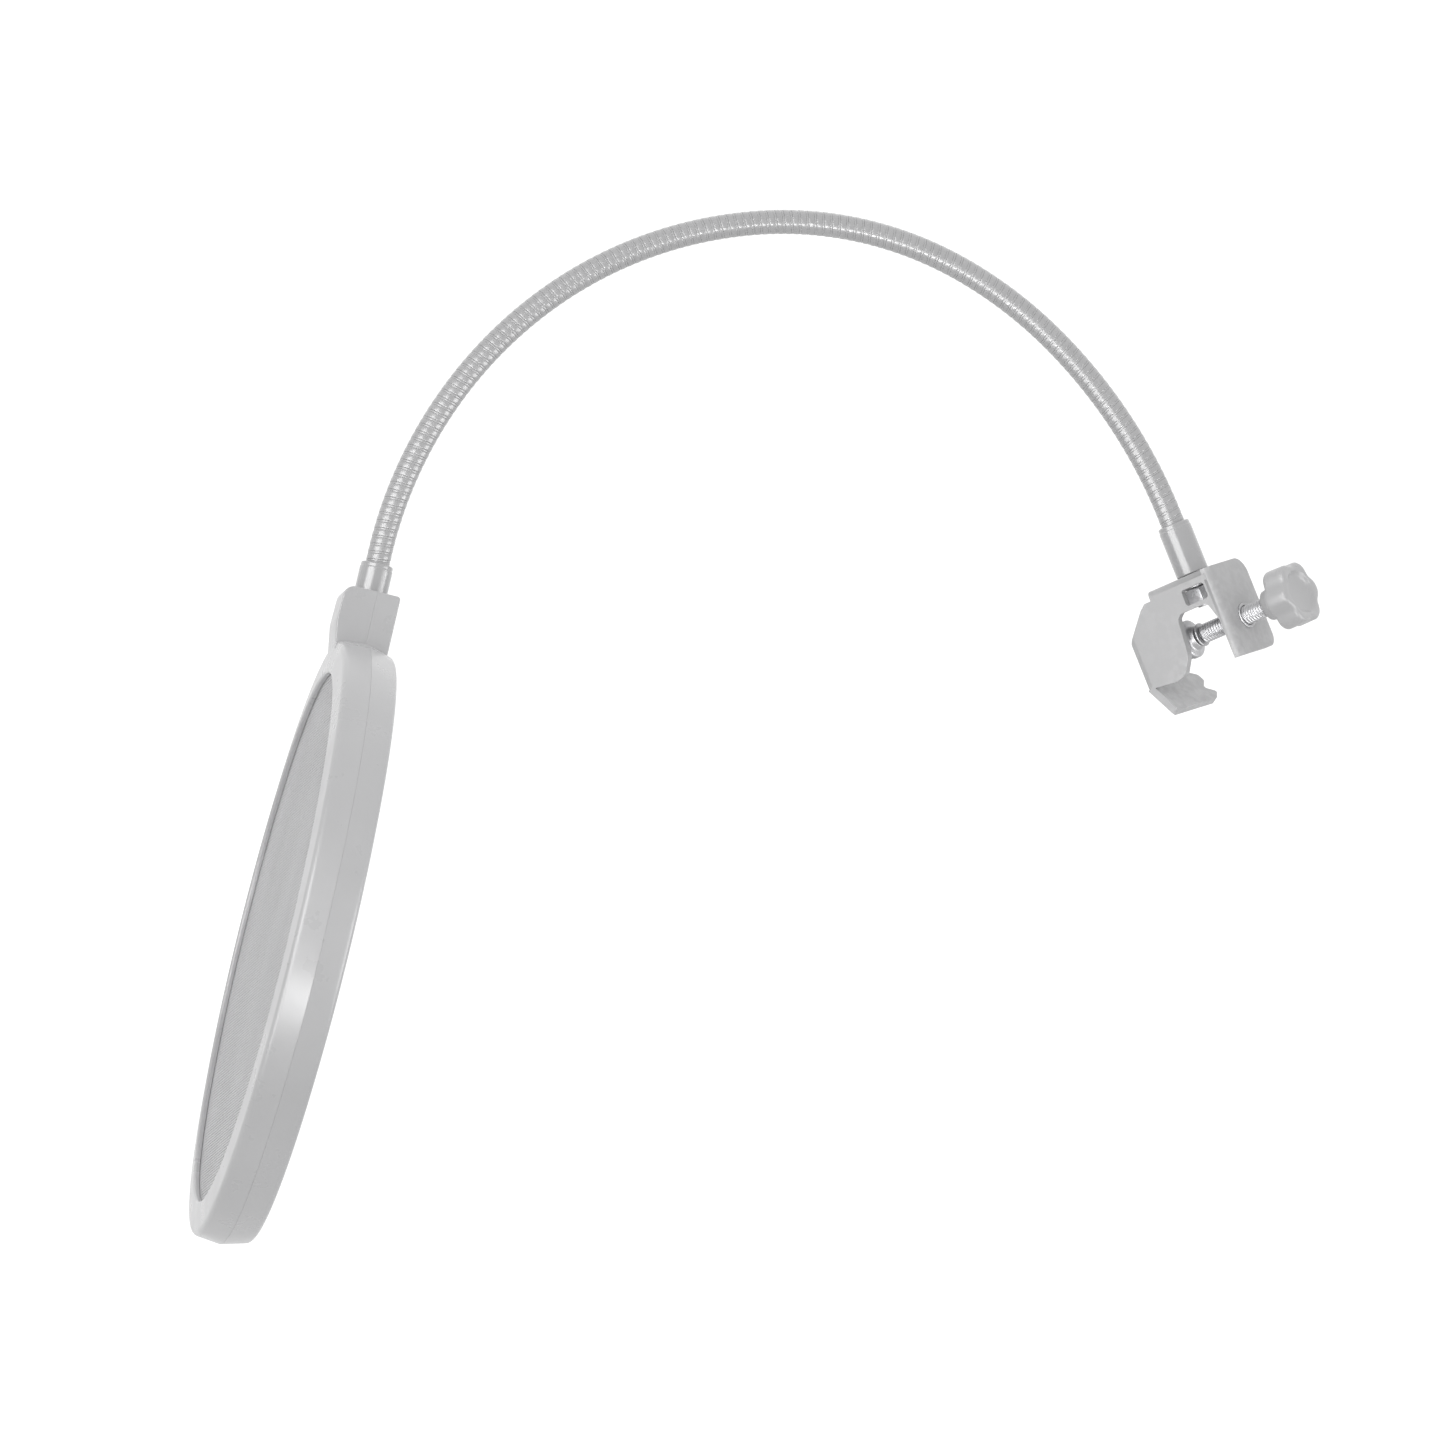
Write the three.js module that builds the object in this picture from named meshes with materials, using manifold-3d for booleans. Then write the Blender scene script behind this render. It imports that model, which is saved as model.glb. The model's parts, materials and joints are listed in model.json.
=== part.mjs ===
// Clamp-on pop filter: a round two-screen hoop on a flexible gooseneck, held by a small screw clamp.
// Millimetres, +Z up. The row origin is the centre of the fixed jaw's flat face, on the clamp screw's axis.
import * as THREE from 'three';
import { mergeVertices } from 'three/addons/utils/BufferGeometryUtils.js';
import Module from 'manifold-3d';

const wasm = await Module();
wasm.setup();

// ---------- driving dimensions ----------
const GAP = 0.3;                          // running gap kept between pieces that touch

// hoop
const HOOP_RADIUS = 78.4;                 // at the parting line, the widest place
const OPENING_RADIUS = 69.0;              // clear screen
const HOOP_HALF_DEPTH = 8.15;
const SHELL_WALL = 2.0;
const FLANGE = 1.6;
const FRONT_DRAFT = THREE.MathUtils.degToRad(6);
const REAR_DRAFT = THREE.MathUtils.degToRad(16);
const FLANGE_SLOPE = THREE.MathUtils.degToRad(6);
const SCREEN_THICKNESS = 0.3;
const SCREEN_RADIUS = 73.6;
const SPACER_WALL = 1.5;
const HOOP_SIDES = 72;

// boss on top of the hoop
const BOSS_WIDTH = 15;
const BOSS_TOP = 91.8;                    // from the hoop's centre
const BOSS_BOTTOM = 76.0;
const BOSS_FRONT = 8.6;
const BOSS_REAR = 6.1;
const BOSS_CORNER = 2.6;
const BOSS_BORE_OFFSET = 1.0;             // neck axis, forward of the hoop's mid-plane
const BOSS_SCREW_SPREAD = 4.6;            // each screw from the boss's middle

// gooseneck
const NECK_RADIUS = 3.2;
const NECK_BORE = 2.2;
const NECK_SIDES = 12;
const NECK_LINKS = 10;
const NECK_FLEX_LENGTH = 276.0;
const QUARTER_TURNS = [30.0, 43.0, 37.3, 34.65];  // degrees that each quarter of the neck bends at rest
const LINK_GAP = 0.9;                     // opening between two links, so that they can bend
const CLAMP_LEAD = 16;                    // straight stretch above the neck seat
const HOOP_TAIL = 10.75;                  // straight stretch above the boss

// ferrules and their studs
const FERRULE_RADIUS = 4.25;
const FERRULE_BASE = 3;
const CLAMP_FERRULE_LENGTH = 13.5;
const HOOP_FERRULE_LENGTH = 7.7;
const CLAMP_STUD_RADIUS = 2.5;
const HOOP_STUD_RADIUS = 2.0;
const INSERT_RADIUS = 3.2;
const INSERT_LENGTH = 7.2;

// clamp bracket, bent from one sheet
const SHEET = 2;
const JAW_DEPTH = 18;                     // how far the jaws stand behind the web
const SCREW_JAW_X = 26.4;                 // inner face of the threaded jaw, from the fixed jaw's face
const SEAT_X = 18.4;                      // neck axis
const SEAT_Z = 15.2;                      // neck seat above the screw's axis
const SCREW_JAW_BOTTOM = -9.3;
const JAW_BOTTOM = -7.3;
const JAW_TOP = 3.6;
const HOOK_LENGTH = 10.6;
const HOOK_ANGLE = THREE.MathUtils.degToRad(28.8);
const HOOK_DEPTH = 22.5;
const CLAMP_TWIST = THREE.MathUtils.degToRad(40);   // clamp turned round the neck's end
const CLAMP_LEAN = THREE.MathUtils.degToRad(22);    // neck's end leans back from upright

// clamp screw, foot and knob
const SCREW_RADIUS = 2.5;
const BALL_X = 12.4;                      // swivel ball on the end of the screw
const BALL_RADIUS = 1.6;
const BALL_NECK_RADIUS = 1.15;
const FOOT_RADIUS = 5;
const PAD_FACE_X = 7.9;
const PAD_THICKNESS = 1.5;
const CUP_BACK_X = 13.4;
const CLIP_X = 13.9;
const CLIP_THICKNESS = 0.6;
const CLIP_RADIUS = 3.1;
const BUSH_RADIUS = 4.2;
const KNOB_HUB_X = 35.6;
const KNOB_BACK_X = 39.4;
const KNOB_FACE_X = 46.4;
const KNOB_RADIUS = 8.5;
const KNOB_LOBES = 6;
const KNOB_LOBE_DEPTH = 1.1;

// ---------- materials ----------
function finish(color, roughness, metalness) {
  return new THREE.MeshStandardMaterial({ color, roughness, metalness });
}
const PLASTIC = () => finish(0xbcbcbe, 0.42, 0.0);
const PAINT = () => finish(0xb0b0b2, 0.45, 0.3);
const NECK_METAL = () => finish(0xb6b6b8, 0.35, 0.6);
const ZINC = () => finish(0xd8d8da, 0.3, 1.0);
const NYLON = () => finish(0xb4b4b8, 0.9, 0.0);
const RUBBER = () => finish(0x8c8c8e, 0.9, 0.0);
const BRASS = () => finish(0xc9a85a, 0.35, 1.0);

// ---------- helpers ----------
function toSolid(geometry) {
  const bare = geometry.clone();
  bare.deleteAttribute('normal');
  bare.deleteAttribute('uv');
  const merged = mergeVertices(bare, 1e-4);
  const vertProperties = new Float32Array(merged.attributes.position.array);
  let triVerts = new Uint32Array(merged.index.array);
  let solid = new wasm.Manifold(new wasm.Mesh({ numProp: 3, vertProperties, triVerts }));
  if (solid.volume() < 0) {
    triVerts = triVerts.map((_, i) => triVerts[i - (i % 3) + (2 - (i % 3))]);
    solid = new wasm.Manifold(new wasm.Mesh({ numProp: 3, vertProperties, triVerts }));
  }
  return solid;
}

function toGeometry(solid) {
  const mesh = solid.getMesh();
  const geometry = new THREE.BufferGeometry();
  geometry.setAttribute('position', new THREE.BufferAttribute(new Float32Array(mesh.vertProperties), 3));
  geometry.setIndex(new THREE.BufferAttribute(new Uint32Array(mesh.triVerts), 1));
  return geometry;
}

function addMesh(parent, name, solid, material) {
  const mesh = new THREE.Mesh(toGeometry(solid), material);
  mesh.name = name;
  parent.add(mesh);
  return mesh;
}

// A solid of revolution about local Z. The profile is [radius, z] pairs.
function turned(profile, sides = 24) {
  const closed = profile.map(([r, z]) => new THREE.Vector2(r, z));
  const onAxis = profile[0][0] === 0 && profile[profile.length - 1][0] === 0;
  if (!onAxis) closed.push(closed[0].clone());
  return toSolid(new THREE.LatheGeometry(closed, sides).rotateX(Math.PI / 2));
}

// The same, about local X.
function turnedX(profile, sides = 24) {
  return turned(profile, sides).rotate([0, 90, 0]);
}

function rod(radius, z0, z1, sides = 20) {
  return turned([[0, z0], [radius, z0], [radius, z1], [0, z1]], sides);
}

function extruded(points, depth) {
  const outline = Array.isArray(points)
    ? new THREE.Shape(points.map(([x, y]) => new THREE.Vector2(x, y)))
    : points;
  return toSolid(new THREE.ExtrudeGeometry(outline, { depth, bevelEnabled: false, curveSegments: 6 }));
}

function box(x0, x1, y0, y1, z0, z1) {
  const geometry = new THREE.BoxGeometry(x1 - x0, y1 - y0, z1 - z0);
  return toSolid(geometry.translate((x0 + x1) / 2, (y0 + y1) / 2, (z0 + z1) / 2));
}

function roundedRect(x0, y0, x1, y1, r) {
  const shape = new THREE.Shape();
  shape.moveTo(x0 + r, y0);
  shape.lineTo(x1 - r, y0);
  shape.absarc(x1 - r, y0 + r, r, -Math.PI / 2, 0);
  shape.lineTo(x1, y1 - r);
  shape.absarc(x1 - r, y1 - r, r, 0, Math.PI / 2);
  shape.lineTo(x0 + r, y1);
  shape.absarc(x0 + r, y1 - r, r, Math.PI / 2, Math.PI);
  shape.lineTo(x0, y0 + r);
  shape.absarc(x0 + r, y0 + r, r, Math.PI, 1.5 * Math.PI);
  return shape;
}

function hexNut(acrossFlats, bore, z0, z1) {
  return turned([[0, z0], [acrossFlats / Math.sqrt(3), z0], [acrossFlats / Math.sqrt(3), z1], [0, z1]], 6)
    .subtract(rod(bore, z0 - 1, z1 + 1));
}

// ---------- clamp bracket ----------
// Clamp frame: x along the screw towards the knob, y away from the web, z along the neck's end.
function clampBracket() {
  const top = SEAT_Z - GAP;
  const back = JAW_DEPTH / 2;
  const outerX = SCREW_JAW_X + SHEET;
  const webOutline = [
    [outerX, top], [9.0, top], [5.2, 11.2], [-SHEET, JAW_TOP], [-SHEET, JAW_BOTTOM], [7.4, -9.0],
    [10.6, -8.2], [13.4, -4.2], [14.5, 5.4], [16.0, 6.5], [24.4, 6.5], [SCREW_JAW_X, 2.0], [outerX, 2.0],
  ];
  const nutWindow = roundedRect(18.4, 7.6, 25.4, 11.8, 0.8);
  let bracket = extruded(webOutline, SHEET)
    .subtract(extruded(nutWindow, 3 * SHEET).translate([0, 0, -SHEET]))
    .rotate([90, 0, 0])
    .translate([0, -back + SHEET, 0]);

  const screwJaw = new THREE.Shape();
  const corner = 3;
  const topCorner = 4.2;
  screwJaw.moveTo(-back, SCREW_JAW_BOTTOM + 1);
  screwJaw.lineTo(-back + 1, SCREW_JAW_BOTTOM);
  screwJaw.lineTo(back - corner, SCREW_JAW_BOTTOM);
  screwJaw.absarc(back - corner, SCREW_JAW_BOTTOM + corner, corner, -Math.PI / 2, 0);
  screwJaw.lineTo(back, top - topCorner);
  screwJaw.absarc(back - topCorner, top - topCorner, topCorner, 0, Math.PI / 2);
  screwJaw.lineTo(-back, top);
  bracket = bracket.add(
    extruded(screwJaw, SHEET).rotate([90, 0, 90]).translate([SCREW_JAW_X, 0, 0]));

  const fixedJaw = box(-SHEET, 0, -back, back, JAW_BOTTOM - 0.6, JAW_TOP);
  const hookEdge = HOOK_DEPTH - back;
  const notch = 6.4;
  const hookOutline = [
    [-back, 0], [hookEdge - 3.5, 0], [hookEdge, 2.2], [hookEdge, notch - 2.2], [hookEdge - 3.2, notch],
    [hookEdge, notch + 2.2], [hookEdge, HOOK_LENGTH - 1.6], [hookEdge - 2.4, HOOK_LENGTH],
    [-back, HOOK_LENGTH],
  ];
  const hook = extruded(hookOutline, SHEET)
    .rotate([-90, 0, 0]).rotate([0, 0, 90])
    .rotate([0, -THREE.MathUtils.radToDeg(HOOK_ANGLE), 0])
    .translate([-SHEET, 0, JAW_BOTTOM]);
  const neckShelf = box(9.0, SCREW_JAW_X + 0.5, -back, 6.5, top - SHEET, top);
  return bracket.add(fixedJaw).add(hook).add(neckShelf)
    .subtract(rod(CLAMP_STUD_RADIUS + GAP, 0, 30).translate([SEAT_X, 0, 0]))
    .subtract(turnedX([[0, 20], [3.2, 20], [3.2, 40], [0, 40]]));
}

// Flanged bush, threaded for the clamp screw, pressed into the screw jaw from inside.
function jawBush() {
  const inner = SCREW_JAW_X - GAP;
  return turnedX([
    [SCREW_RADIUS + 0.25, inner - 2.8], [BUSH_RADIUS, inner - 2.8], [BUSH_RADIUS, inner],
    [2.95, inner], [2.95, SCREW_JAW_X + SHEET], [SCREW_RADIUS + 0.25, SCREW_JAW_X + SHEET],
  ]);
}

// ---------- screw, foot and knob ----------
function clampScrew() {
  const neckEnd = CLIP_X + CLIP_THICKNESS + GAP;
  return turnedX([
    [0, BALL_X - BALL_RADIUS], [0.7 * BALL_RADIUS, BALL_X - 0.7 * BALL_RADIUS], [BALL_RADIUS, BALL_X],
    [BALL_NECK_RADIUS, BALL_X + 0.7 * BALL_RADIUS], [BALL_NECK_RADIUS, neckEnd],
    [SCREW_RADIUS - 0.5, neckEnd], [SCREW_RADIUS, neckEnd + 0.5],
    [SCREW_RADIUS, KNOB_FACE_X - 4.4], [0, KNOB_FACE_X - 4.4],
  ]);
}

function footCup() {
  const front = PAD_FACE_X + PAD_THICKNESS + GAP;
  const socket = BALL_RADIUS + GAP;
  return turnedX([
    [0, front], [FOOT_RADIUS - 0.5, front], [FOOT_RADIUS, front + 0.5], [FOOT_RADIUS, front + 1.6],
    [FOOT_RADIUS - 0.4, front + 2.0], [3.2, front + 2.2], [2.8, CUP_BACK_X], [1.5, CUP_BACK_X],
    [socket, BALL_X + 0.3], [socket, BALL_X - 0.3], [0.7 * socket, BALL_X - 0.75 * socket],
    [0, BALL_X - socket],
  ]);
}

function footPad() {
  const rim = FOOT_RADIUS - 0.3;
  return turnedX([
    [0, PAD_FACE_X], [rim - 0.4, PAD_FACE_X], [rim, PAD_FACE_X + 0.4],
    [rim, PAD_FACE_X + PAD_THICKNESS], [0, PAD_FACE_X + PAD_THICKNESS],
  ]);
}

// Retaining clip on the screw's neck: it rides in and out with the screw but need not turn.
function footClip() {
  const bore = BALL_NECK_RADIUS + GAP;
  const back = CLIP_X + CLIP_THICKNESS;
  return turnedX([[bore, CLIP_X], [CLIP_RADIUS, CLIP_X], [CLIP_RADIUS, back], [bore, back]]);
}

function knob() {
  const outline = new THREE.Shape();
  const steps = KNOB_LOBES * 8;
  for (let i = 0; i < steps; i += 1) {
    const angle = (2 * Math.PI * i) / steps;
    const r = KNOB_RADIUS - 0.6 - (KNOB_LOBE_DEPTH / 2) * (1 - Math.cos(KNOB_LOBES * angle));
    const point = [r * Math.cos(angle), r * Math.sin(angle)];
    if (i === 0) outline.moveTo(...point);
    else outline.lineTo(...point);
  }
  const bevel = { bevelEnabled: true, bevelThickness: 0.9, bevelSize: 0.6, bevelSegments: 2 };
  const depth = KNOB_FACE_X - KNOB_BACK_X - 2 * bevel.bevelThickness;
  const grip = toSolid(new THREE.ExtrudeGeometry(outline, { depth, ...bevel }))
    .translate([0, 0, KNOB_BACK_X + bevel.bevelThickness]).rotate([0, 90, 0]);
  const hub = turnedX([
    [0, KNOB_HUB_X], [3.9, KNOB_HUB_X], [4.6, KNOB_BACK_X - 0.8], [5.6, KNOB_BACK_X + 1], [0, KNOB_BACK_X + 1],
  ]);
  const dish = turnedX([
    [0, KNOB_FACE_X - 1.7], [2.6, KNOB_FACE_X - 1.45], [4.6, KNOB_FACE_X - 0.7],
    [5.6, KNOB_FACE_X + 0.1], [5.6, KNOB_FACE_X + 3], [0, KNOB_FACE_X + 3],
  ]);
  const socket = turnedX([
    [0, KNOB_HUB_X - 2], [SCREW_RADIUS + GAP, KNOB_HUB_X - 2],
    [SCREW_RADIUS + GAP, KNOB_FACE_X - 4.1], [0, KNOB_FACE_X - 4.1],
  ]);
  return grip.add(hub).subtract(dish).subtract(socket);
}

// ---------- gooseneck ----------
// Straight lead, one even bend towards -x, straight tail; it starts along +z.
class Bend extends THREE.Curve {
  constructor(lead, arc, turn, tail) {
    super();
    Object.assign(this, { lead, arc, turn, tail });
  }

  getPoint(t) {
    const s = t * (this.lead + this.arc + this.tail);
    const radius = this.arc / this.turn;
    const along = THREE.MathUtils.clamp(s - this.lead, 0, this.arc);
    const angle = along / radius;
    const extra = Math.max(s - this.lead - this.arc, 0);
    const x = -radius * (1 - Math.cos(angle)) - extra * Math.sin(angle);
    const z = Math.min(s, this.lead) + radius * Math.sin(angle) + extra * Math.cos(angle);
    return new THREE.Vector3(x, 0, z);
  }
}

function circle(radius, sides, Kind) {
  const path = new Kind();
  for (let i = 0; i < sides; i += 1) {
    const angle = (2 * Math.PI * i) / sides;
    if (i === 0) path.moveTo(radius, 0);
    else path.lineTo(radius * Math.cos(angle), radius * Math.sin(angle));
  }
  path.closePath();
  return path;
}

function neckTube(curve, from, to) {
  const total = curve.lead + curve.arc + curve.tail;
  const stretch = new THREE.Curve();
  stretch.getPoint = (t) => curve.getPoint((from + t * (to - from)) / total);
  const section = circle(NECK_RADIUS, NECK_SIDES, THREE.Shape);
  section.holes.push(circle(NECK_BORE, NECK_SIDES, THREE.Path));
  const steps = Math.max(3, Math.round((to - from) / 6));
  return toSolid(new THREE.ExtrudeGeometry(section, { steps, extrudePath: stretch, bevelEnabled: false }));
}

function turnBefore(length) {
  const quarter = NECK_FLEX_LENGTH / QUARTER_TURNS.length;
  return QUARTER_TURNS.reduce(
    (sum, turn, i) => sum + turn * THREE.MathUtils.clamp(length / quarter - i, 0, 1), 0);
}

function ferrule(length, studRadius) {
  return turned([
    [studRadius + GAP, 0], [FERRULE_RADIUS - 0.5, 0], [FERRULE_RADIUS, 0.5],
    [FERRULE_RADIUS, length - 0.6], [FERRULE_RADIUS - 0.4, length],
    [NECK_RADIUS + GAP, length], [NECK_RADIUS + GAP, FERRULE_BASE], [studRadius + GAP, FERRULE_BASE],
  ]);
}

function stud(radius, bottom, top) {
  return turned([[0, bottom], [radius - 0.6, bottom], [radius, bottom + 0.6], [radius, top], [0, top]], 20);
}

// Links are nested, each hung on the one before at its pivot. Returns the frame past the last link.
function addNeck(base) {
  const arc = NECK_FLEX_LENGTH / NECK_LINKS;
  let parent = base;
  let frame = null;
  for (let k = 1; k <= NECK_LINKS; k += 1) {
    const turn = THREE.MathUtils.degToRad(turnBefore(k * arc) - turnBefore((k - 1) * arc));
    const lead = k === 1 ? CLAMP_LEAD : 0;
    const tail = k === NECK_LINKS ? HOOP_TAIL : 0;
    const curve = new Bend(lead, arc, turn, tail);
    const link = new THREE.Group();
    if (frame) {
      link.position.copy(frame.end);
      link.rotation.y = -frame.turn;
    }
    parent.add(link);
    const from = k === 1 ? FERRULE_BASE + GAP : LINK_GAP / 2;
    const to = lead + arc + tail - (k === NECK_LINKS ? FERRULE_BASE + GAP : LINK_GAP / 2);
    addMesh(link, `neck_link_${String(k).padStart(2, '0')}`, neckTube(curve, from, to), NECK_METAL());
    frame = { end: curve.getPoint(1), turn };
    parent = link;
  }
  const tip = new THREE.Group();
  tip.position.copy(frame.end);
  tip.rotation.y = -frame.turn;
  parent.add(tip);
  return tip;
}

// ---------- hoop ----------
// Hoop frame: x up through the boss, z out of the front face.
function shellRing(side) {
  const draft = side > 0 ? FRONT_DRAFT : REAR_DRAFT;
  const parting = GAP / 2;
  const rimRadius = HOOP_RADIUS - (HOOP_HALF_DEPTH - 1) * Math.tan(draft);
  const wallTop = HOOP_HALF_DEPTH - FLANGE - 0.4;
  const flangeDrop = (rimRadius - OPENING_RADIUS) * Math.tan(FLANGE_SLOPE);
  const profile = [
    [HOOP_RADIUS - SHELL_WALL, parting],
    [HOOP_RADIUS, parting],
    [rimRadius, HOOP_HALF_DEPTH - 1.3 - flangeDrop * 0.4],
    [rimRadius - 0.35, HOOP_HALF_DEPTH - 0.35 - flangeDrop],
    [rimRadius - 1.2, HOOP_HALF_DEPTH - flangeDrop],
    [OPENING_RADIUS + 0.5, HOOP_HALF_DEPTH],
    [OPENING_RADIUS, HOOP_HALF_DEPTH - 0.4],
    [OPENING_RADIUS, HOOP_HALF_DEPTH - FLANGE],
    [rimRadius - SHELL_WALL, HOOP_HALF_DEPTH - FLANGE],
    [HOOP_RADIUS - SHELL_WALL - wallTop * Math.tan(draft) * 0.5, wallTop * 0.5],
  ].map(([r, z]) => [r, side * z]);
  return turned(profile, HOOP_SIDES);
}

function bossBlock() {
  const half = BOSS_WIDTH / 2;
  const front = new THREE.Shape();
  front.moveTo(BOSS_BOTTOM, -BOSS_REAR);
  front.lineTo(BOSS_TOP - 0.8, -BOSS_REAR);
  front.lineTo(BOSS_TOP, -BOSS_REAR + 0.8);
  front.lineTo(BOSS_TOP, BOSS_FRONT - BOSS_CORNER);
  front.absarc(BOSS_TOP - BOSS_CORNER, BOSS_FRONT - BOSS_CORNER, BOSS_CORNER, 0, Math.PI / 2);
  front.lineTo(BOSS_TOP - 8.5, BOSS_FRONT);
  front.lineTo(BOSS_BOTTOM, HOOP_HALF_DEPTH - 0.6);
  const side = extruded(front, BOSS_WIDTH).rotate([90, 0, 0]).translate([0, half, 0]);
  const face = extruded(roundedRect(BOSS_BOTTOM - 4, -half, BOSS_TOP, half, 1.2), 30)
    .translate([0, 0, -15]);
  return side.intersect(face);
}

function hoopShell(side) {
  const nearHalf = side > 0
    ? box(60, 100, -20, 20, GAP / 2, 20)
    : box(60, 100, -20, 20, -20, -GAP / 2);
  const insertPocket = rod(INSERT_RADIUS + GAP, 0, INSERT_LENGTH + 2 * GAP).rotate([0, 90, 0])
    .translate([BOSS_TOP - INSERT_LENGTH - 1.6 - GAP, 0, BOSS_BORE_OFFSET]);
  const studBore = rod(HOOP_STUD_RADIUS + GAP, 0, 20).rotate([0, 90, 0])
    .translate([BOSS_TOP - INSERT_LENGTH - 3.2, 0, BOSS_BORE_OFFSET]);
  let boss = bossBlock().intersect(nearHalf).subtract(insertPocket).subtract(studBore);
  for (const y of [-BOSS_SCREW_SPREAD, BOSS_SCREW_SPREAD]) {
    boss = boss.subtract(rod(1.2 + GAP, -3.2, 6.2, 16).translate([81, y, 0]));
    boss = boss.subtract(rod(2.1 + GAP, -20, -2.9, 16).translate([81, y, 0]));
  }
  return shellRing(side).add(boss);
}

function screenSpacer() {
  const outer = SCREEN_RADIUS;
  const half = HOOP_HALF_DEPTH - FLANGE - SCREEN_THICKNESS - 2 * 0.25;
  const inner = OPENING_RADIUS + 0.4;
  return turned([
    [inner, -half], [outer, -half], [outer, -half + SPACER_WALL], [inner + SPACER_WALL, -half + SPACER_WALL],
    [inner + SPACER_WALL, half - SPACER_WALL], [outer, half - SPACER_WALL], [outer, half], [inner, half],
  ], HOOP_SIDES);
}

function screen(side) {
  const middle = side * (HOOP_HALF_DEPTH - FLANGE - 0.25 - SCREEN_THICKNESS / 2);
  return rod(SCREEN_RADIUS, middle - SCREEN_THICKNESS / 2, middle + SCREEN_THICKNESS / 2, HOOP_SIDES);
}

function bossScrew(y) {
  return turned([[0, -4.6], [1.5, -4.6], [2.1, -4.0], [2.1, -3.2], [1.2, -3.2], [1.2, 5.0], [0.3, 6.0], [0, 6.0]], 16)
    .translate([81, y, 0]);
}

function addHoop(tip) {
  addMesh(tip, 'hoop_ferrule', ferrule(HOOP_FERRULE_LENGTH, HOOP_STUD_RADIUS).rotate([180, 0, 0]), PAINT());
  addMesh(tip, 'hoop_stud', stud(HOOP_STUD_RADIUS, -FERRULE_BASE, INSERT_LENGTH + 2.6), ZINC());
  const insert = rod(INSERT_RADIUS, 0, INSERT_LENGTH).subtract(rod(HOOP_STUD_RADIUS + GAP, -1, 20));
  addMesh(tip, 'boss_insert', insert.translate([0, 0, 1.6]), BRASS());
  const hoop = new THREE.Group();
  hoop.rotation.y = Math.PI / 2;
  hoop.position.set(-BOSS_BORE_OFFSET, 0, BOSS_TOP);
  tip.add(hoop);
  addMesh(hoop, 'hoop_front_shell', hoopShell(1), PLASTIC());
  addMesh(hoop, 'hoop_rear_shell', hoopShell(-1), PLASTIC());
  addMesh(hoop, 'screen_spacer', screenSpacer(), PLASTIC());
  addMesh(hoop, 'front_screen', screen(1), NYLON());
  addMesh(hoop, 'rear_screen', screen(-1), NYLON());
  addMesh(hoop, 'boss_screw_left', bossScrew(-BOSS_SCREW_SPREAD), ZINC());
  addMesh(hoop, 'boss_screw_right', bossScrew(BOSS_SCREW_SPREAD), ZINC());
}

// ---------- assembly ----------
const popFilter = new THREE.Group();

const clamp = new THREE.Group();
clamp.rotation.set(0, -CLAMP_LEAN, -CLAMP_TWIST);
popFilter.add(clamp);
addMesh(clamp, 'clamp_bracket', clampBracket(), PAINT());
addMesh(clamp, 'jaw_bush', jawBush(), ZINC());
addMesh(clamp, 'clamp_screw', clampScrew(), ZINC());
addMesh(clamp, 'clamp_knob', knob(), PLASTIC());
addMesh(clamp, 'foot_cup', footCup(), PAINT());
addMesh(clamp, 'foot_pad', footPad(), RUBBER());
addMesh(clamp, 'foot_clip', footClip(), ZINC());

const neckBase = new THREE.Group();
neckBase.position.set(SEAT_X, 0, SEAT_Z);
neckBase.rotation.z = CLAMP_TWIST;
clamp.add(neckBase);
const shelfBottom = -GAP - SHEET;
const washerTop = shelfBottom - GAP;
const washerBottom = washerTop - 0.9;
const nutTop = washerBottom - GAP;
addMesh(neckBase, 'clamp_ferrule', ferrule(CLAMP_FERRULE_LENGTH, CLAMP_STUD_RADIUS), PAINT());
addMesh(neckBase, 'clamp_stud', stud(CLAMP_STUD_RADIUS, nutTop - 4.9, FERRULE_BASE), ZINC());
const washer = rod(4.4, washerBottom, washerTop).subtract(rod(CLAMP_STUD_RADIUS + GAP, -20, 20));
addMesh(neckBase, 'neck_lock_washer', washer, ZINC());
addMesh(neckBase, 'neck_nut', hexNut(8, CLAMP_STUD_RADIUS + GAP, nutTop - 4, nutTop), ZINC());

addHoop(addNeck(neckBase));

export default popFilter;
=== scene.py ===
import json
import math

import bmesh
import bpy
import numpy as np
from mathutils import Matrix, Vector


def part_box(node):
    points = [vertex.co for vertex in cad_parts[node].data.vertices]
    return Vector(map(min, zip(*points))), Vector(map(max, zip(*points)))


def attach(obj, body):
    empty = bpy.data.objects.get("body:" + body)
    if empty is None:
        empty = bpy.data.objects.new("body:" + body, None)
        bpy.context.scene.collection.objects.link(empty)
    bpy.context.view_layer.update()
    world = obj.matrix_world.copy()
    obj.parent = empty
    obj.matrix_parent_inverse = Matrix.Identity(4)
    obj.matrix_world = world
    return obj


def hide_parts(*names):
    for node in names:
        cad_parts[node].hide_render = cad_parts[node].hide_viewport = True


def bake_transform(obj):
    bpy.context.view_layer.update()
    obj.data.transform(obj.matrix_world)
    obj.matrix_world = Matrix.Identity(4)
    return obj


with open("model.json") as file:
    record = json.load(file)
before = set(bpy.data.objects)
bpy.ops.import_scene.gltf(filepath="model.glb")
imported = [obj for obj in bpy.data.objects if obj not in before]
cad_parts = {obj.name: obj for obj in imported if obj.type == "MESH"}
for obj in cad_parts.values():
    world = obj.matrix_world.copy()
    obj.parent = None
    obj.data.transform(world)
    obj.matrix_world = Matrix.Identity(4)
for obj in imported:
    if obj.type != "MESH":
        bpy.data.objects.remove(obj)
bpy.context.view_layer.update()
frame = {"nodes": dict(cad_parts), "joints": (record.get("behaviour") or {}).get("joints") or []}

MM = 0.001
LOCAL = Matrix.Identity(4)  # a piece that is cut from solids is made in millimetres, then placed
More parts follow.
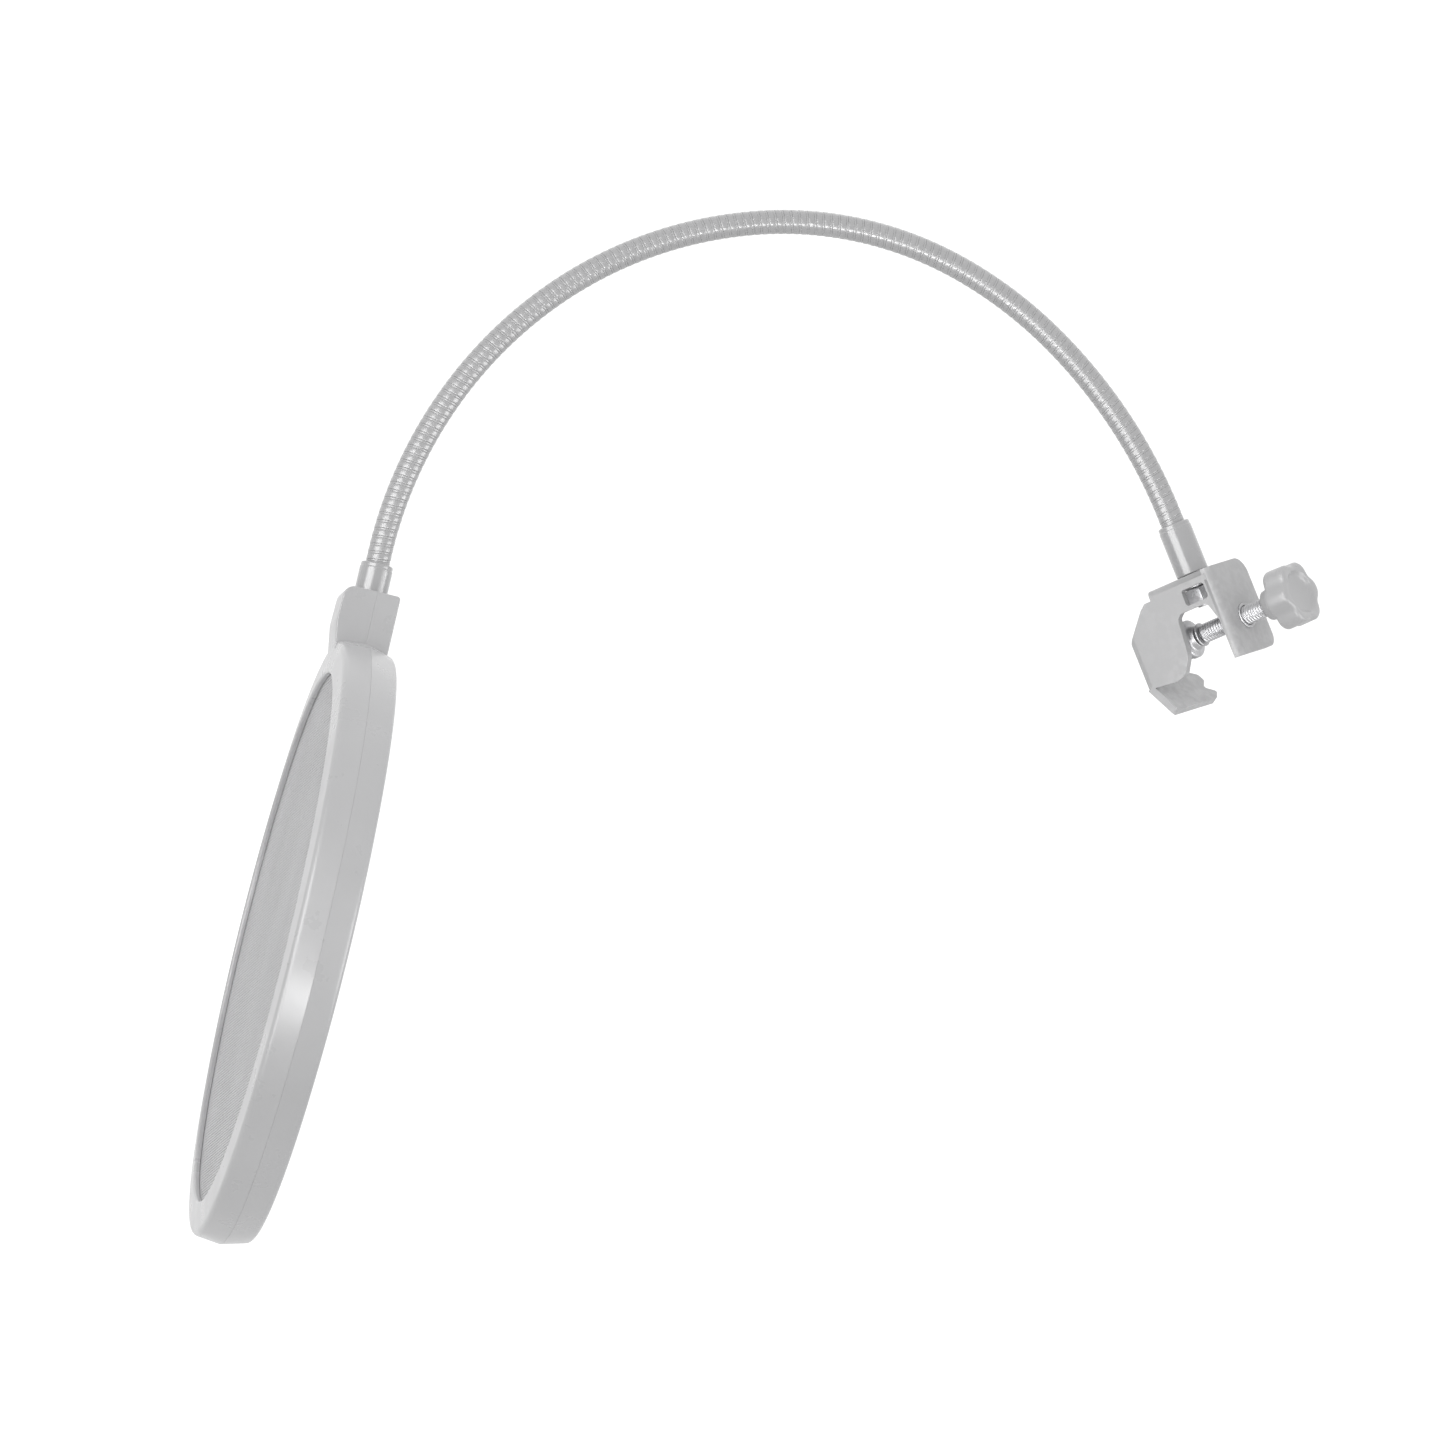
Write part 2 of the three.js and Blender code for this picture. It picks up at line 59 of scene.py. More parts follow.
X_TO_Z = Matrix.Rotation(-math.pi / 2, 4, "Y")      # turns local x onto local z
JOINTS = {joint["name"]: joint for joint in frame["joints"]}


# ---------- places, from the frame ----------
def axis_of(joint):
    return Vector(JOINTS[joint]["axis"]).normalized()


def centre(node):
    low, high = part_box(node)
    return (low + high) / 2


def basis(origin, x_axis, y_axis, z_axis):
    """A matrix from local millimetres to the row frame."""
    turn = Matrix((x_axis, y_axis, z_axis)).transposed()
    return Matrix.Translation(origin) @ turn.to_4x4() @ Matrix.Scale(MM, 4)


# Clamp: x along the screw towards the knob, z along the neck's end, y away from the web.
CLAMP_X, CLAMP_Z = axis_of("screw_travel"), axis_of("foot_swivel")
CLAMP = basis(Vector(), CLAMP_X, CLAMP_Z.cross(CLAMP_X), CLAMP_Z)

# Hoop: x up through the boss, z out of the front screen.
HOOP_FRONT = (centre("front_screen") - centre("rear_screen")).normalized()
HOOP_SIDE = Vector((0, 1, 0))
HOOP_UP = HOOP_SIDE.cross(HOOP_FRONT)
HOOP_CENTRE = (centre("front_screen") + centre("rear_screen")) / 2
HOOP = basis(HOOP_CENTRE, HOOP_UP, HOOP_SIDE, HOOP_FRONT)

# ---------- driving dimensions, millimetres ----------
# hoop
RIM_RADIUS = 78.37
OPENING_RADIUS = 69.0
HALF_DEPTH = 8.02
FRONT_DRAFT = math.radians(6)
REAR_DRAFT = math.radians(16)
FLANGE_SLOPE = math.radians(6)
WALL = 2.0
FLANGE = 1.6
SEAM = 0.012                # half the hairline between the two shells
SCREEN_RADIUS = 73.6
SCREEN_THICKNESS = 0.16
SCREEN_SLACK = 0.25         # how far the net sinks between its rim and its middle
# boss
BOSS_ROOT = 71.5            # sunk in the ring
BOSS_INNER = 74.6           # where the boss is cut off, clear of the screen's groove
BOSS_TOP = 91.8
BOSS_WIDTH = 15.0
BOSS_FRONT = 8.6
BOSS_REAR = 6.1
BORE_OFFSET = 1.0
BORE = 2.4
BORE_DEPTH = 11.0
SCREW_UP = 81.0
SCREW_SPREAD = 4.6
SCREW_RECESS = 2.4
SCREW_SEAT = 2.9            # how far behind the seam the recess ends
# gooseneck
SEAT = (18.4, 0, 15.2)      # in the clamp's frame
CLAMP_LEAD = 16.0
HOOP_TAIL = 10.75
NECK_RADIUS = 3.2
WIRE_PITCH = 2.04
FERRULE_RADIUS = 4.25
CLAMP_FERRULE = 13.5
HOOP_FERRULE = 7.7
FERRULE_BASE = 3.0


# ---------- mesh helpers ----------
def new_piece(name, points, faces, matrix, sharp=32):
    """A smooth-shaded mesh object from local points and faces, placed by a matrix."""
    mesh = bpy.data.meshes.new(name)
    mesh.from_pydata([tuple(p) for p in points], [], [tuple(f) for f in faces])
    mesh.transform(matrix)
    mesh.validate()
    piece = bpy.data.objects.new(name, mesh)
    bpy.context.scene.collection.objects.link(piece)
    face_out(piece)
    smooth(piece, sharp)
    return piece


def face_out(piece):
    work = bmesh.new()
    work.from_mesh(piece.data)
    bmesh.ops.remove_doubles(work, verts=work.verts, dist=2e-7)
    bmesh.ops.recalc_face_normals(work, faces=work.faces)
    work.to_mesh(piece.data)
    work.free()


def smooth(piece, sharp):
    piece.data.shade_smooth()
    piece.data.set_sharp_from_angle(angle=math.radians(sharp))


def fillet(corners, step=15, closed=True):
    """An outline from (x, y) or (x, y, radius) corners, with round corners as arcs."""
    outline = []
    count = len(corners)
    for i, corner in enumerate(corners):
        here = Vector(corner[:2])
        radius = corner[2] if len(corner) > 2 else 0
        ends = not closed and i in (0, count - 1)
        if ends or not radius:
            outline.append(tuple(here))
            continue
        before = (Vector(corners[i - 1][:2]) - here)
        after = (Vector(corners[(i + 1) % count][:2]) - here)
        a, b = before.normalized(), after.normalized()
        half = a.angle(b) / 2
        reach = min(radius / math.tan(half), 0.49 * before.length, 0.49 * after.length)
        radius = reach * math.tan(half)
        middle = here + (a + b).normalized() * (radius / math.sin(half))
        start = here + a * reach - middle
        turn = start.angle_signed(here + b * reach - middle)
        steps = max(2, math.ceil(abs(math.degrees(turn)) / step))
        for k in range(steps + 1):
            spin = Matrix.Rotation(-turn * k / steps, 2)
            outline.append(tuple(middle + spin @ start))
    return outline


def held(outline, reach):
    """The same outline with a point close to both ends of each long run, which keeps its shading even."""
    points = []
    for a, b in zip(outline, outline[1:] + outline[:1]):
        a, b = Vector(a), Vector(b)
        points.append(tuple(a))
        if (b - a).length > 4 * reach:
            way = (b - a).normalized() * reach
            points += [tuple(a + way), tuple(b - way)]
    return points


def turned(name, corners, matrix, sides=48, sharp=32, closed=False, step=15, hold=0):
    """A body turned about local x, from (radius, x) corners; closed rings start and end off the axis."""
    profile = fillet(corners, step=step, closed=closed)
    if hold:
        profile = held(profile, hold)
    points, rings, faces = [], [], []
    for radius, along in profile:
        if radius < 1e-6:
            rings.append([len(points)] * sides)
            points.append((along, 0, 0))
            continue
        rings.append(list(range(len(points), len(points) + sides)))
        for k in range(sides):
            angle = 2 * math.pi * k / sides
            points.append((along, radius * math.cos(angle), radius * math.sin(angle)))
    pairs = list(zip(rings, rings[1:]))
    if closed:
        pairs.append((rings[-1], rings[0]))
    for low, high in pairs:
        for k in range(sides):
            n = (k + 1) % sides
            loop = list(dict.fromkeys((low[k], low[n], high[n], high[k])))
            if len(loop) > 2:
                faces.append(loop)
    return new_piece(name, points, faces, matrix, sharp)


def tube_faces(rings, sides):
    """Quads between rings of points that follow one another, and a face across both ends."""
    faces = []
    for low in range(0, (rings - 1) * sides, sides):
        high = low + sides
        for k in range(sides):
            n = (k + 1) % sides
            faces.append((low + k, low + n, high + n, high + k))
    faces.append(tuple(range(sides))[::-1])
    faces.append(tuple(range((rings - 1) * sides, rings * sides)))
    return faces


def prism(name, outline, low, high, matrix, axes="xyz"):
    """An outline in two local axes, extruded along the third."""
    order = [axes.index(a) for a in "xyz"]
    count = len(outline)
    points = [(u, v, w) for w in (low, high) for u, v in outline]
    points = [[p[i] for i in order] for p in points]
    faces = [list(range(count))[::-1], list(range(count, 2 * count))]
    for i in range(count):
        n = (i + 1) % count
        faces.append([i, n, n + count, i + count])
    return new_piece(name, points, faces, matrix)


def cut(piece, tool, operation):
    """A boolean with the tool, which is then removed."""
    modifier = piece.modifiers.new("cut", "BOOLEAN")
    modifier.object = tool
    modifier.operation = operation
    modifier.solver = "EXACT"
    apply_modifiers(piece)
    bpy.data.objects.remove(tool)


def apply_modifiers(piece):
    graph = bpy.context.evaluated_depsgraph_get()
    mesh = bpy.data.meshes.new_from_object(piece.evaluated_get(graph))
    piece.modifiers.clear()
    old = piece.data
    piece.data = mesh
    mesh.name = piece.name
    bpy.data.meshes.remove(old)


def soften(piece, width, segments=3, angle=34, sharp=40, unit=1.0):
    """Rounds the edges of a piece made of flat faces and arcs."""
    work = bmesh.new()
    work.from_mesh(piece.data)
    bmesh.ops.remove_doubles(work, verts=work.verts, dist=2e-3 * unit)
    bmesh.ops.dissolve_limit(work, angle_limit=math.radians(0.5), verts=work.verts, edges=work.edges)
    work.to_mesh(piece.data)
    work.free()
    bevel = piece.modifiers.new("soften", "BEVEL")
    bevel.width = width * unit
    bevel.segments = segments
    bevel.limit_method = "ANGLE"
    bevel.angle_limit = math.radians(angle)
    bevel.miter_outer = "MITER_ARC"
    bevel.use_clamp_overlap = True
    apply_modifiers(piece)
    smooth(piece, sharp)
    flatten(piece, unit)


def flatten(piece, unit=1.0, narrow=0.6, above=-math.inf):
    """Shades every face flat that is wider than the strips of a bend or a rounded edge, above a local x."""
    work = bmesh.new()
    work.from_mesh(piece.data)
    bmesh.ops.dissolve_degenerate(work, dist=1e-3 * unit, edges=work.edges)
    work.to_mesh(piece.data)
    work.free()
    for face in piece.data.polygons:
        corners = [piece.data.vertices[i].co for i in face.vertices]
        around = sum((a - b).length for a, b in zip(corners, corners[1:] + corners[:1]))
        face.use_smooth = face.center.x < above or 2 * face.area < narrow * unit * around


def place(piece, matrix, name):
    """Puts a piece made in local millimetres where it belongs."""
    piece.data.transform(matrix)
    piece.name = piece.data.name = name


def join(name, pieces):
    """Several pieces as one object."""
    work = bmesh.new()
    for piece in pieces:
        work.from_mesh(piece.data)
    mesh = bpy.data.meshes.new(name)
    work.to_mesh(mesh)
    work.free()
    joined = bpy.data.objects.new(name, mesh)
    bpy.context.scene.collection.objects.link(joined)
    for piece in pieces:
        bpy.data.objects.remove(piece)
    return joined


def threaded(name, matrix, start, end, radius, pitch, depth, chamfer=0.5, sides=28):
    """A threaded rod along local x, with chamfered ends."""
    rows = int((end - start) / pitch * 8)
    points = []
    for i in range(rows + 1):
        x = start + (end - start) * i / rows
        ends = max(0, chamfer - min(x - start, end - x))
        for k in range(sides):
            angle = 2 * math.pi * k / sides
            phase = (x / pitch - k / sides) % 1
            ridge = abs(phase - 0.5) * 2
            r = radius - depth * min(1, max(0, 1.5 * ridge - 0.25)) - ends
            points.append((x, r * math.cos(angle), r * math.sin(angle)))
    return new_piece(name, points, tube_faces(rows + 1, sides), matrix, 60)


# ---------- materials ----------
class Nodes:
    """A short way to write a material's node tree."""

    def __init__(self, name):
        self.material = bpy.data.materials.new(name)
        self.material.use_nodes = True
        self.tree = self.material.node_tree
        self.shader = self.tree.nodes["Principled BSDF"]

    def add(self, kind, **settings):
        node = self.tree.nodes.new(kind)
        for key, value in settings.items():
            setattr(node, key, value)
        return node

    def link(self, source, target):
        self.tree.links.new(source, target)

    def noise(self, scale, detail=3, roughness=0.5, vector=None):
        node = self.add("ShaderNodeTexNoise")
        node.inputs["Scale"].default_value = scale
        node.inputs["Detail"].default_value = detail
        node.inputs["Roughness"].default_value = roughness
        if vector is None:
            vector = self.add("ShaderNodeTexCoord").outputs["Object"]
        self.link(vector, node.inputs["Vector"])
        return node.outputs["Fac"]

    def span(self, value, low, high, start=0.0, end=1.0):
        node = self.add("ShaderNodeMapRange")
        for socket, number in (("From Min", start), ("From Max", end), ("To Min", low), ("To Max", high)):
            node.inputs[socket].default_value = number
        self.link(value, node.inputs["Value"])
        return node.outputs["Result"]

    def spread(self, noise, low, high):
        """A noise, which seldom leaves its middle, stretched over a range."""
        return self.span(noise, low, high, 0.3, 0.7)

    def maths(self, operation, a, b=None):
        node = self.add("ShaderNodeMath", operation=operation)
        for socket, value in zip(node.inputs, (a, b)):
            if value is None:
                continue
            if isinstance(value, (int, float)):
                socket.default_value = value
            else:
                self.link(value, socket)
        return node.outputs[0]

    def tones(self, fac, dark, light):
        node = self.add("ShaderNodeMix", data_type="RGBA")
        node.inputs["A"].default_value = (*dark, 1)
        node.inputs["B"].default_value = (*light, 1)
        self.link(fac, node.inputs["Factor"])
        self.link(node.outputs["Result"], self.shader.inputs["Base Color"])

    def bump(self, height, distance, strength=1.0, after=None):
        node = self.add("ShaderNodeBump")
        node.inputs["Strength"].default_value = strength
        node.inputs["Distance"].default_value = distance
        self.link(height, node.inputs["Height"])
        if after is not None:
            self.link(after, node.inputs["Normal"])
        self.link(node.outputs["Normal"], self.shader.inputs["Normal"])
        return node.outputs["Normal"]

    def set(self, **sockets):
        for key, value in sockets.items():
            self.shader.inputs[key.replace("_", " ")].default_value = value


def grey(value, tint=0.012):
    return (value, value, value * (1 + tint))


def moulded_plastic(name, tone, rough, grain):
    """Injection-moulded plastic: an even tone, a fine spark-eroded grain and slow changes of gloss."""
    nodes = Nodes(name)
    cloud = nodes.noise(35, 4)
    nodes.tones(nodes.spread(cloud, 0, 1), grey(tone * 0.965), grey(tone * 1.03))
    gloss = nodes.noise(90, 5, 0.6)
    nodes.link(nodes.spread(gloss, rough - 0.05, rough + 0.06), nodes.shader.inputs["Roughness"])
    first = nodes.bump(nodes.noise(2600, 2), grain * MM, 0.5)
    nodes.bump(nodes.noise(160, 2), 0.05 * MM, 0.12, after=first)
    nodes.set(IOR=1.5)
    return nodes.material


def powder_coat(name, tone):
    """Powder-coated sheet: orange peel, and metal worn bright along the edges."""
    nodes = Nodes(name)
    edge = nodes.add("ShaderNodeNewGeometry").outputs["Pointiness"]
    patches = nodes.noise(420, 4, 0.6)
    worn = nodes.maths("MULTIPLY", nodes.span(edge, 0, 1, 0.53, 0.60), nodes.span(patches, 0, 1, 0.42, 0.6))
    mix = nodes.maths("ADD", nodes.maths("MULTIPLY", worn, 0.7),
                      nodes.spread(nodes.noise(300, 4), 0, 0.05))
    nodes.tones(mix, grey(tone * 0.985), grey(tone * 1.22))
    nodes.link(nodes.spread(nodes.noise(500, 3), 0.42, 0.50), nodes.shader.inputs["Roughness"])
    peel = nodes.bump(nodes.noise(900, 3), 0.03 * MM, 0.5)
    nodes.bump(nodes.noise(220, 2), 0.03 * MM, 0.08, after=peel)
    nodes.set(IOR=1.5)
    return nodes.material


def coated_wire(name, tone, rough):
    """Lacquered spring wire with faint drawing marks."""
    nodes = Nodes(name)
    nodes.tones(nodes.spread(nodes.noise(240, 4), 0, 1), grey(tone * 0.97), grey(tone * 1.03))
    nodes.link(nodes.spread(nodes.noise(700, 3), rough - 0.05, rough + 0.07),
               nodes.shader.inputs["Roughness"])
    nodes.bump(nodes.noise(1800, 3), 0.006 * MM, 0.3)
    nodes.set(IOR=1.55, Coat_Weight=0.5, Coat_Roughness=0.2)
    return nodes.material


def gloss_sleeve(name, tone):
    """Turned sleeve under gloss lacquer, with fine lathe rings."""
    nodes = Nodes(name)
    nodes.tones(nodes.spread(nodes.noise(120, 4), 0, 1), grey(tone * 0.97), grey(tone * 1.03))
    nodes.link(nodes.spread(nodes.noise(300, 4), 0.2, 0.3), nodes.shader.inputs["Roughness"])
    nodes.bump(nodes.noise(1200, 3), 0.012 * MM, 0.4)
    nodes.set(IOR=1.55, Coat_Weight=0.4, Coat_Roughness=0.1)
    return nodes.material


def plated(name, tone, rough, metallic=1.0, tint=0.02):
    """Zinc plate: small crystal patches in tone and gloss, and fine scratches."""
    nodes = Nodes(name)
    crystals = nodes.add("ShaderNodeTexVoronoi")
    crystals.inputs["Scale"].default_value = 900
    nodes.link(nodes.add("ShaderNodeTexCoord").outputs["Object"], crystals.inputs["Vector"])
    grain = nodes.add("ShaderNodeSeparateColor")
    nodes.link(crystals.outputs["Color"], grain.inputs["Color"])
    nodes.tones(grain.outputs["Red"], grey(tone * 0.93, tint), grey(tone * 1.04, tint))
    nodes.link(nodes.spread(nodes.noise(260, 5, 0.65), rough - 0.07, rough + 0.1),
               nodes.shader.inputs["Roughness"])
    nodes.bump(nodes.noise(1500, 4), 0.01 * MM, 0.4)
    nodes.set(Metallic=metallic)
    return nodes.material


def turned_brass(name):
    nodes = Nodes(name)
    nodes.tones(nodes.spread(nodes.noise(300, 4), 0, 1), (0.52, 0.37, 0.14), (0.66, 0.49, 0.21))
    nodes.link(nodes.spread(nodes.noise(500, 4), 0.22, 0.36), nodes.shader.inputs["Roughness"])
    nodes.bump(nodes.noise(1500, 3), 0.01 * MM, 0.4)
    nodes.set(Metallic=1.0)
    return nodes.material


def moulded_rubber(name, tone):
    nodes = Nodes(name)
    nodes.tones(nodes.spread(nodes.noise(200, 5), 0, 1), grey(tone * 0.9), grey(tone * 1.1))
    nodes.link(nodes.spread(nodes.noise(300, 4), 0.7, 0.88), nodes.shader.inputs["Roughness"])
    nodes.bump(nodes.noise(1400, 4), 0.05 * MM, 0.6)
    return nodes.material


NET_PITCH = 0.85            # millimetres between the rows of holes in the nylon net


def nylon_net(name, tone, turn):
    """Knitted nylon net: three sets of ribs cross at 60 degrees and leave round holes between them."""
    nodes = Nodes(name)
    uv = nodes.add("ShaderNodeUVMap", uv_map="net").outputs["UV"]
    rate = math.tau / (NET_PITCH * MM)
    waves = None
    for k in range(3):
        angle = math.radians(60 * k + turn)
        along = nodes.add("ShaderNodeVectorMath", operation="DOT_PRODUCT")
        nodes.link(uv, along.inputs[0])
        along.inputs[1].default_value = (rate * math.cos(angle), rate * math.sin(angle), 0)
        wave = nodes.maths("COSINE", along.outputs["Value"])
        waves = wave if waves is None else nodes.maths("ADD", waves, wave)
    solid = nodes.span(waves, 1, 0.0, 0.15, 0.75)
    solid.node.interpolation_type = "SMOOTHSTEP"
    nodes.link(solid, nodes.shader.inputs["Alpha"])
    cloud = nodes.noise(45, 5)
    nodes.tones(nodes.spread(cloud, 0, 1), grey(tone * 0.94, 0.02), grey(tone * 1.05, 0.02))
    nodes.bump(waves, -0.06 * MM, 0.7)
    nodes.set(Roughness=0.62, Sheen_Weight=0.25, Sheen_Roughness=0.4)
    return nodes.material


PLASTIC = moulded_plastic("hoop plastic", 0.49, 0.30, 0.012)
KNOB_PLASTIC = moulded_plastic("knob plastic", 0.46, 0.36, 0.02)
PAINT = powder_coat("clamp paint", 0.45)
SLEEVE = gloss_sleeve("ferrule lacquer", 0.42)
WIRE = coated_wire("neck wire", 0.41, 0.3)
FILLER = coated_wire("neck filler wire", 0.41, 0.36)
ZINC = plated("zinc plate", 0.46, 0.38, 0.75)
# The nut's zinc is a lighter copy of the zinc plate, near white: painted light that stands in for the light
# which hardly reaches the nut inside the bracket's window.
NUT_ZINC_PAINTED_LIGHT = plated("nut zinc with painted light", 0.96, 0.22, 0.35)
BRASS = turned_brass("brass")
RUBBER = moulded_rubber("pad rubber", 0.16)
FRONT_NET = nylon_net("front nylon net", 0.60, 0)
REAR_NET = nylon_net("rear nylon net", 0.60, 17)


def finish_piece(piece, body, slot, *materials, replaces=()):
    """Gives a piece its materials, says which CAD nodes it replaces, and rides it on a body; the slot
    argument is not used.
    """
    piece.data.materials.clear()
    for material in materials:
        piece.data.materials.append(material)
    if replaces:
        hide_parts(*replaces)
    if body:
        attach(piece, body)


# ---------- camera, light and floor ----------
PHOTO_WIDTH = 367.75 * MM   # how much the whole frame covers at the object
CAMERA_AZIMUTH = math.radians(7.3)
CAMERA_ELEVATION = math.radians(-6)
CAMERA_DISTANCE = 12.0      # the photograph has almost no perspective
FLOOR_DROP = 1.6            # the clamp holds the part this far above the floor, below the camera too
FRAME_CENTRE_RIGHT = -119.7 * MM   # the frame's centre, from the neck's seat
FRAME_CENTRE_UP = -37.9 * MM


def add_camera():
    forward = Vector((math.sin(CAMERA_AZIMUTH) * math.cos(CAMERA_ELEVATION),
                      math.cos(CAMERA_AZIMUTH) * math.cos(CAMERA_ELEVATION),
                      -math.sin(CAMERA_ELEVATION)))
    right = forward.cross(Vector((0, 0, 1))).normalized()
    up = right.cross(forward)
    target = CLAMP @ Vector(SEAT) + right * FRAME_CENTRE_RIGHT + up * FRAME_CENTRE_UP
    data = bpy.data.cameras.new("camera")
    data.sensor_width = 36
    data.lens = data.sensor_width * CAMERA_DISTANCE / PHOTO_WIDTH
    data.clip_start, data.clip_end = 0.1, 50
    camera = bpy.data.objects.new("camera", data)
    camera.location = target - forward * CAMERA_DISTANCE
    camera.rotation_mode = "QUATERNION"
    camera.rotation_quaternion = forward.to_track_quat("-Z", "Y")
    bpy.context.scene.collection.objects.link(camera)
    bpy.context.scene.camera = camera
    return target, forward, right


def add_softbox(name, target, direction, distance, width, height, glow, card=False):
    """A softbox of an even glow; a card shows only in reflections."""
    data = bpy.data.lights.new(name, "AREA")
    data.shape = "RECTANGLE"
    data.size, data.size_y = width, height
    data.energy = glow * math.pi * width * height
    box = bpy.data.objects.new(name, data)
    box.location = target + direction.normalized() * distance
    box.rotation_mode = "QUATERNION"
    box.rotation_quaternion = (-direction).to_track_quat("-Z", "Y")
    box.visible_camera = False
    box.visible_diffuse = not card
    bpy.context.scene.collection.objects.link(box)


def add_studio():
    scene = bpy.context.scene
    scene.view_settings.view_transform = "Standard"
    target, forward, right = add_camera()
    towards = -forward

    def direction(azimuth, elevation):
        a, e = math.radians(azimuth), math.radians(elevation)
        return (towards * math.cos(a) + right * math.sin(a)) * math.cos(e) + Vector((0, 0, math.sin(e)))

    add_softbox("key card", target, direction(-32, 3), 1.6, 1.4, 1.8, 5.5, card=True)
    add_softbox("low card", target, direction(4, -21), 1.6, 0.8, 0.26, 22.0, card=True)
    add_softbox("side card", target, direction(66, -14), 1.6, 1.2, 0.8, 6.0, card=True)
    add_softbox("front softbox", target, direction(-30, 30), 1.8, 1.0, 0.8, 0.9)
    add_softbox("back softbox", target, direction(165, 45), 1.8, 1.0, 1.0, 0.2)

    world = bpy.data.worlds.new("studio")
    scene.world = world
    world.use_nodes = True
    tree = world.node_tree
    back = tree.nodes["Background"]
    spot = tree.nodes.new("ShaderNodeTexCoord")
    behind = tree.nodes.new("ShaderNodeVectorMath")
    behind.operation = "DOT_PRODUCT"
    behind.inputs[1].default_value = forward
    glow = tree.nodes.new("ShaderNodeMapRange")
    for socket, number in (("From Min", 0.0), ("From Max", 0.75), ("To Min", 0.96), ("To Max", 1.12)):
        glow.inputs[socket].default_value = number
    seen = tree.nodes.new("ShaderNodeLightPath")
    choose = tree.nodes.new("ShaderNodeMath")
    choose.operation = "MAXIMUM"
    tree.links.new(spot.outputs["Generated"], behind.inputs[0])
    tree.links.new(behind.outputs["Value"], glow.inputs["Value"])
    tree.links.new(glow.outputs["Result"], choose.inputs[0])
    tree.links.new(seen.outputs["Is Camera Ray"], choose.inputs[1])
    tree.links.new(choose.outputs[0], back.inputs["Strength"])
    back.inputs["Color"].default_value = (1, 1, 1, 1)

    half, drop = 6.0, -FLOOR_DROP
    corners = [(-half, -half, drop), (half, -half, drop), (half, half, drop), (-half, half, drop)]
    mesh = bpy.data.meshes.new("floor")
    mesh.from_pydata(corners, [], [(0, 1, 2, 3)])
    floor = bpy.data.objects.new("floor", mesh)
    scene.collection.objects.link(floor)
    nodes = Nodes("pale floor")
    nodes.tones(nodes.noise(2, 3), (0.80, 0.80, 0.80), (0.84, 0.84, 0.84))
    nodes.set(Roughness=0.7)
    mesh.materials.append(nodes.material)


# ---------- hoop ----------
def shell_profile(side):
    """(radius, z, fillet) corners of one shell's ring; side is 1 in front and -1 behind."""
    draft = FRONT_DRAFT if side > 0 else REAR_DRAFT
    rim = RIM_RADIUS - (HALF_DEPTH - 1) * math.tan(draft)
    flange_drop = (rim - OPENING_RADIUS) * math.tan(FLANGE_SLOPE)
    inner = RIM_RADIUS - WALL
    corners = [
        (inner, SEAM), (RIM_RADIUS, SEAM, 0.03), (rim, HALF_DEPTH - flange_drop, 1.6),
        (OPENING_RADIUS, HALF_DEPTH, 0.9), (OPENING_RADIUS, HALF_DEPTH - FLANGE, 0.15),
        (rim - WALL - 0.4, HALF_DEPTH - FLANGE, 0.8),
    ]
    return [(r, side * z, *f) for r, z, *f in corners]


def boss_outline():
    """Side view of the boss: (up, front) corners with fillets."""
    return [
        (BOSS_ROOT, -BOSS_REAR, 0.3), (BOSS_TOP, -BOSS_REAR, 0.9), (BOSS_TOP, BOSS_FRONT - 0.3, 2.8),
        (BOSS_TOP - 9.5, BOSS_FRONT, 6.0), (74.4, HALF_DEPTH - 0.68, 1.0),
        (BOSS_ROOT, HALF_DEPTH - 1.5, 0.3),
    ]


def boss_block(side):
    """Half of the boss, on its own side of the seam, kept clear of the screen's groove."""
    half, beyond = BOSS_WIDTH / 2, BOSS_TOP + 10
    block = prism("boss", fillet(boss_outline(), 9), -half, half, LOCAL, axes="xzy")
    soften(block, 0.7, 4, angle=30)
    low, high = (SEAM, 20) if side > 0 else (-20, -SEAM)
    keep = prism("keep", [
        (BOSS_INNER, -half - 1), (beyond, -half - 1), (beyond, half + 1), (BOSS_INNER, half + 1),
    ], low, high, LOCAL)
    cut(block, keep, "INTERSECT")
    return block


def hole(piece, radius, depth, matrix, sides=40):
    """A round hole along local x, from the matrix's origin."""
    tool = turned("hole", [(0, 0), (radius, 0), (radius, depth), (0, depth)], matrix, sides)
    cut(piece, tool, "DIFFERENCE")


def hoop_shell(side, name):
    """One half: a turned ring with its half of the boss, bored for the stud and the screws."""
    shell = turned("ring", shell_profile(side), X_TO_Z, sides=192, closed=True, step=12, hold=0.25)
    cut(shell, boss_block(side), "UNION")
    hole(shell, BORE, 20, Matrix.Translation((BOSS_TOP - BORE_DEPTH, 0, BORE_OFFSET)))
    if side < 0:
        for y in (-SCREW_SPREAD, SCREW_SPREAD):
            hole(shell, SCREW_RECESS, 5, Matrix.Translation((SCREW_UP, y, -SCREW_SEAT)) @ X_TO_Z.inverted())
    smooth(shell, 34)
    flatten(shell, above=RIM_RADIUS + 0.4)
    place(shell, HOOP, name)
    return shell


def add_hoop():
    front = hoop_shell(1, "hoop_front")
    rear = hoop_shell(-1, "hoop_rear")
    finish_piece(front, "hoop", "hoop_plastic", PLASTIC, replaces=["hoop_front_shell"])
    finish_piece(rear, "hoop", "hoop_plastic", PLASTIC, replaces=["hoop_rear_shell"])


